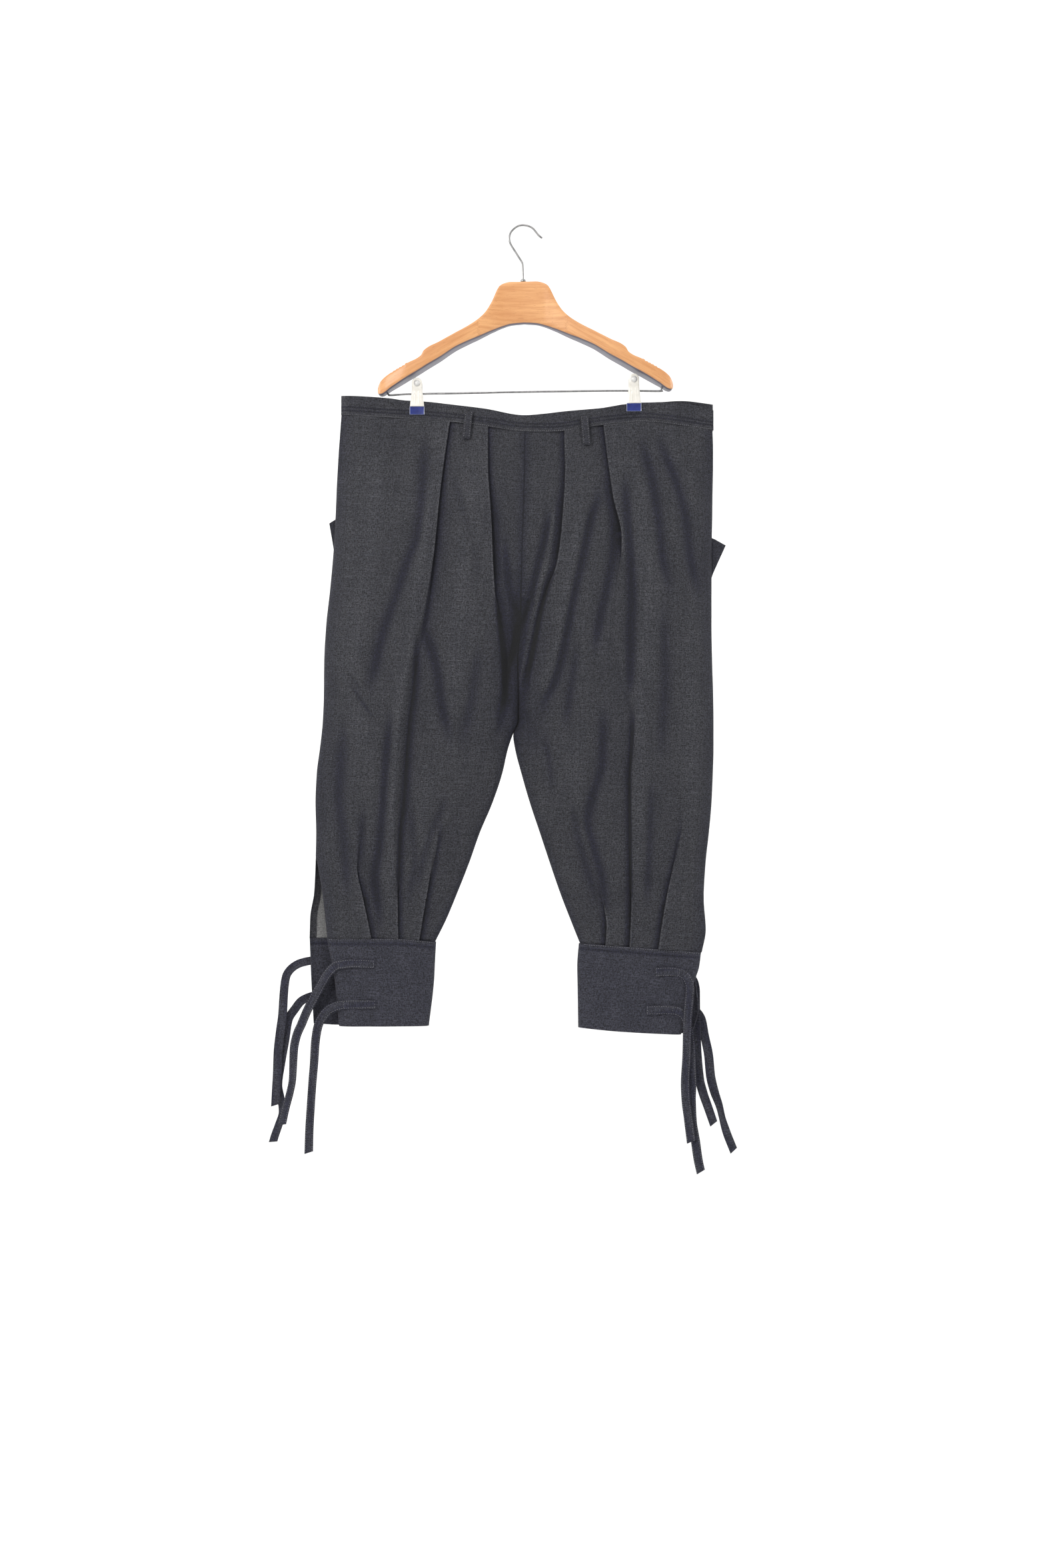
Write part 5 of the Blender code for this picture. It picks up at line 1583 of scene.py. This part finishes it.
wire = {"radius": 1.5}
hookPath = (
    (-2, 86.5),
    (-2, 80.5),
    (-2.6, 61),
    (-4, 54),
    (-9, 46),
    (-14, 38),
    (-20, 28.5),
    (-22.5, 22),
    (-22.5, 15),
    (-20, 8.5),
    (-14, 2.5),
    (-8, -0.8),
    (-1, -1.5),
    (6.6, 0),
    (12.7, 3.5),
    (17, 8.5),
    (21, 13.5),
    (26.4, 18),
)
barPath = (
    (-205, 249.9),
    (-204, 252.6),
    (-200, 253.6),
    (-170, 252),
    (-80, 250.3),
    (8, 248.5),
    (133, 247),
    (201, 247.5),
    (204.5, 246),
    (205.5, 241.7),
)


def splineThrough(points, perSpan=8):
    points = np.asarray(points, float)
    count = len(points)
    samples = np.linspace(0.0, count - 1, (count - 1) * perSpan + 1)
    return splineWeights(samples, count) @ points


def wireTube(name, path, radius, material, sides=16, replaced=None):
    path = np.asarray(path, float)
    rings = []
    reference = np.array([0.0, 1.0, 0.0])
    for i in range(len(path)):
        along = path[min(i + 1, len(path) - 1)] - path[max(i - 1, 0)]
        along /= np.linalg.norm(along)
        sideways = np.cross(along, reference)
        if np.linalg.norm(sideways) < 0.2:
            sideways = np.cross(along, (1.0, 0.0, 0.0))
        sideways /= np.linalg.norm(sideways)
        upward = np.cross(sideways, along)
        shrink = 0.75 if i in (0, len(path) - 1) else 1.0
        rings.append(
            [
                path[i] + radius * shrink * (sideways * math.cos(a) + upward * math.sin(a))
                for a in np.linspace(0.0, 2.0 * math.pi, sides, endpoint=False)
            ]
        )
    obj = closedTube(name, rings, material)
    if replaced:
        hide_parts(replaced)
    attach(obj, "root")
    return obj


def flatPath(path):
    return [(x, 0.0, drop) for x, drop in path]


def turnedPiece(name, profile, centre, axis, material, replaced, steps=36):
    # a profile of radius and height, spun full circle round the axis
    bm = bmesh.new()
    verts = [bm.verts.new((radius * mm, 0.0, height * mm)) for radius, height in profile]
    edges = [bm.edges.new(pair) for pair in zip(verts, verts[1:])]
    bmesh.ops.spin(
        bm,
        geom=verts + edges,
        cent=(0.0, 0.0, 0.0),
        axis=(0.0, 0.0, 1.0),
        angle=2.0 * math.pi,
        steps=steps,
        use_merge=True,
    )
    bmesh.ops.remove_doubles(bm, verts=bm.verts, dist=1e-6)
    bmesh.ops.recalc_face_normals(bm, faces=bm.faces)
    turn = Vector((0.0, 0.0, 1.0)).rotation_difference(Vector(axis)).to_matrix().to_4x4()
    bmesh.ops.transform(bm, matrix=Matrix.Translation(Vector(inMetres(centre))) @ turn, verts=bm.verts)
    obj = meshPiece(name, bm, material)
    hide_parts(replaced)
    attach(obj, "root")
    return obj


def makeFerrule(material):
    inner, outer = 1.75, 4.2
    profile = [(inner, -0.1), (outer - 0.9, -0.1), (outer - 0.2, 0.3), (outer, 1.0), (outer, 2.6)]
    profile += [(outer - 0.15, 3.1), (outer - 0.7, 3.5), (inner, 3.5), (inner, -0.1)]
    # the profile's height runs down the wood, so it is turned over
    return turnedPiece("ferrule_turned", profile, (-2.0, 0.0, 80.5), (0.0, 0.0, -1.0), material, "ferrule")


# ---- clips ----
clips = (("left", -161.0, 229.0, 271.0), ("right", 164.0, 223.0, 266.0))  # name, x, head, top of the pads
jaw = (  # share of the length, half width, distance from the middle plane
    (0, 5.5, 8.6),
    (0.07, 7.5, 8.3),
    (0.29, 7.8, 8.3),
    (0.38, 8, 6.8),
    (0.47, 8.2, 5.8),
    (0.6, 8.6, 5.75),
    (0.8, 9.6, 5.3),
    (1, 10.6, 5.0),
)
clipShape = {"wall": 1.1, "padWide": 22.0, "padHigh": 12.0, "padWall": 1.4, "rivetDown": 8.2, "rivet": 4.7}


def makeClip(spec, cream, steel, vinyl, silver):
    name, x, head, padTop = spec
    halfWidth = smoothCurve([s[0] for s in jaw], [s[1] for s in jaw])
    outAt = smoothCurve([s[0] for s in jaw], [s[2] for s in jaw])
    barDrop = float(columnCurve(barPath, 1)(x))
    for face in ("front", "back"):
        out = away(face)
        rows, length = [], padTop - head
        shares = np.concatenate((np.linspace(0.0, 0.16, 12)[:-1], np.linspace(0.16, 1.0, 52)))
        for share in shares:
            fromTop = share * length
            half = float(halfWidth(share))
            if fromTop < 7.6:
                half = min(half, 7.7 * math.sqrt(max(0.04, 1.0 - ((7.6 - fromTop) / 7.6) ** 2)))
            row = []
            for part in np.linspace(-1.0, 1.0, 31):
                flange = 1.1 * smoothStep(0.72, 1.0, abs(part))
                rib = 0.45 * math.exp(-(((abs(part) - 0.33) / 0.07) ** 2))
                rib *= smoothStep(0.42, 0.52, share) * (1.0 - smoothStep(0.9, 0.97, share))
                aside = abs(part) * half - 3.9
                dimple = 0.7 * math.exp(-((aside / 1.1) ** 2) - (((head + fromTop - barDrop - 1.0) / 1.0) ** 2))
                y = out * (float(outAt(share)) - flange + rib - dimple)
                row.append((x + part * half, y, head + fromTop))
            rows.append(row)
        ordered = rows if face == "back" else rows[::-1]
        obj = clothGrid(f"clip_{name}_{face}_pressed", ordered, clipShape["wall"], (cream,), bevel=0.3)
        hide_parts(f"clip_{name}_{face}")
        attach(obj, "root")

        reach = float(bandDeep(x)) + bandSpread * 0.85 + trousers["bandWall"] / 2.0 + 0.35
        bm = bmesh.new()
        bmesh.ops.create_cube(bm, size=1.0)
        size = (clipShape["padWide"] * mm, clipShape["padWall"] * mm, clipShape["padHigh"] * mm)
        bmesh.ops.scale(bm, vec=size, verts=bm.verts)
        outside = [f for f in bm.faces if f.normal.y * out > 0.9]
        bmesh.ops.inset_region(bm, faces=outside, thickness=0.0009, depth=-0.0003)
        bmesh.ops.bevel(
            bm, geom=bm.edges[:], offset=0.0003, segments=2, profile=0.5, affect="EDGES", material=-1
        )
        y = out * (reach + clipShape["padWall"] / 2.0)
        middle = inMetres((x, y, padTop + 0.6 + clipShape["padHigh"] / 2.0))
        bmesh.ops.translate(bm, vec=Vector(middle), verts=bm.verts)
        pad = meshPiece(f"pad_{name}_{face}_moulded", bm, vinyl)
        attribute = pad.data.attributes.new("rim", "FLOAT", "POINT")
        for vert, value in zip(pad.data.vertices, attribute.data):
            aside = abs(vert.co.x / mm - x)
            value.value = float(smoothStep(10.1, 10.8, aside)) * 0.75
        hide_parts(f"pad_{name}_{face}")
        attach(pad, "root")

        radius = clipShape["rivet"]
        angles = np.linspace(0.0, math.pi / 2.0, 9)
        profile = [(0.0, 0.0), (radius, 0.0), (radius, 0.35), (radius - 0.6, 0.55)]
        profile += [((radius - 0.7) * math.cos(a), 0.55 + 2.6 * math.sin(a)) for a in angles[1:-1]]
        profile.append((0.0, 3.15))
        y = out * (jaw[1][2] + clipShape["wall"] / 2.0 + 0.35)
        turnedPiece(
            f"rivet_{name}_{face}_turned",
            profile,
            (x, y, head + clipShape["rivetDown"]),
            (0.0, out, 0.0),
            silver,
            f"rivet_{name}_{face}",
        )
    turns, wireRadius, radius = 6.0, 0.75, 4.0
    count = 150
    path = []
    for i in range(count + 1):
        share = i / count
        angle = 2.0 * math.pi * turns * share
        path.append((x - 4.7 + 9.4 * share, radius * math.cos(angle), barDrop + radius * math.sin(angle)))
    wireTube(f"spring_{name}_coil", path, wireRadius, steel, sides=8, replaced=f"spring_{name}")


# ---- build ----
makeStudio()
weave = weaveGroup()
denimCloth = denimMaterial("denimCloth", weave)
denimBlue = denimMaterial("denimCuffs", weave, light=1.45)
denimInside = insideMaterial("denimInside", weave)
paleThread = threadMaterial("paleThread", (0.1, 0.1, 0.105), (0.22, 0.22, 0.23))
darkThread = threadMaterial("darkThread", (0.004, 0.004, 0.006), (0.012, 0.012, 0.017))
wood = woodMaterial()
steel = metalMaterial("steelWire", (0.24, 0.24, 0.24), (0.36, 0.355, 0.35), 0.42)
silver = paintMaterial("polishedRivet", (0.6, 0.59, 0.57), (0.7, 0.69, 0.67), 0.28, Coat_Weight=0.6)
cream = paintMaterial("creamEnamel", (0.76, 0.73, 0.66), (0.84, 0.81, 0.75), 0.35, Coat_Weight=0.4)
vinyl = paintMaterial(
    "blueVinyl", (0.008, 0.017, 0.13), (0.014, 0.028, 0.19), 0.25, rim=(0.5, 0.55, 0.72), Coat_Weight=0.6
)
print("studio and materials made")

for number, (name, route) in enumerate(tieRoutes.items()):
    makeTie(name, route, (denimBlue,), paleThread, number)
print("ties made:", len(tieRoutes))

for side in ("left", "right"):
    for face in ("front", "back"):
        makePanel(side, face, (denimCloth, denimInside))
makeBand((denimCloth,))
for side in ("left", "right"):
    makeCuff(side, (denimBlue,))
for side in ("left", "right"):
    makePocket(side, (denimCloth,))
print("cloth made")

loopThread = bmesh.new()
for spec in loops:
    makeLoop(spec, (denimCloth,), loopThread)
loopStitches = meshPiece("belt_loop_stitches", loopThread, paleThread)
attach(loopStitches, "root")
makeStitching(paleThread, darkThread)
print("loops and stitching made")

makeHanger(wood)
wireTube("hook_wire", splineThrough(flatPath(hookPath)), wire["radius"], steel, 20, "hook")
wireTube("bar_wire", splineThrough(flatPath(barPath)), wire["radius"], steel, 16, "bar")
makeFerrule(steel)
for spec in clips:
    makeClip(spec, cream, steel, vinyl, silver)
print("hanger and clips made")
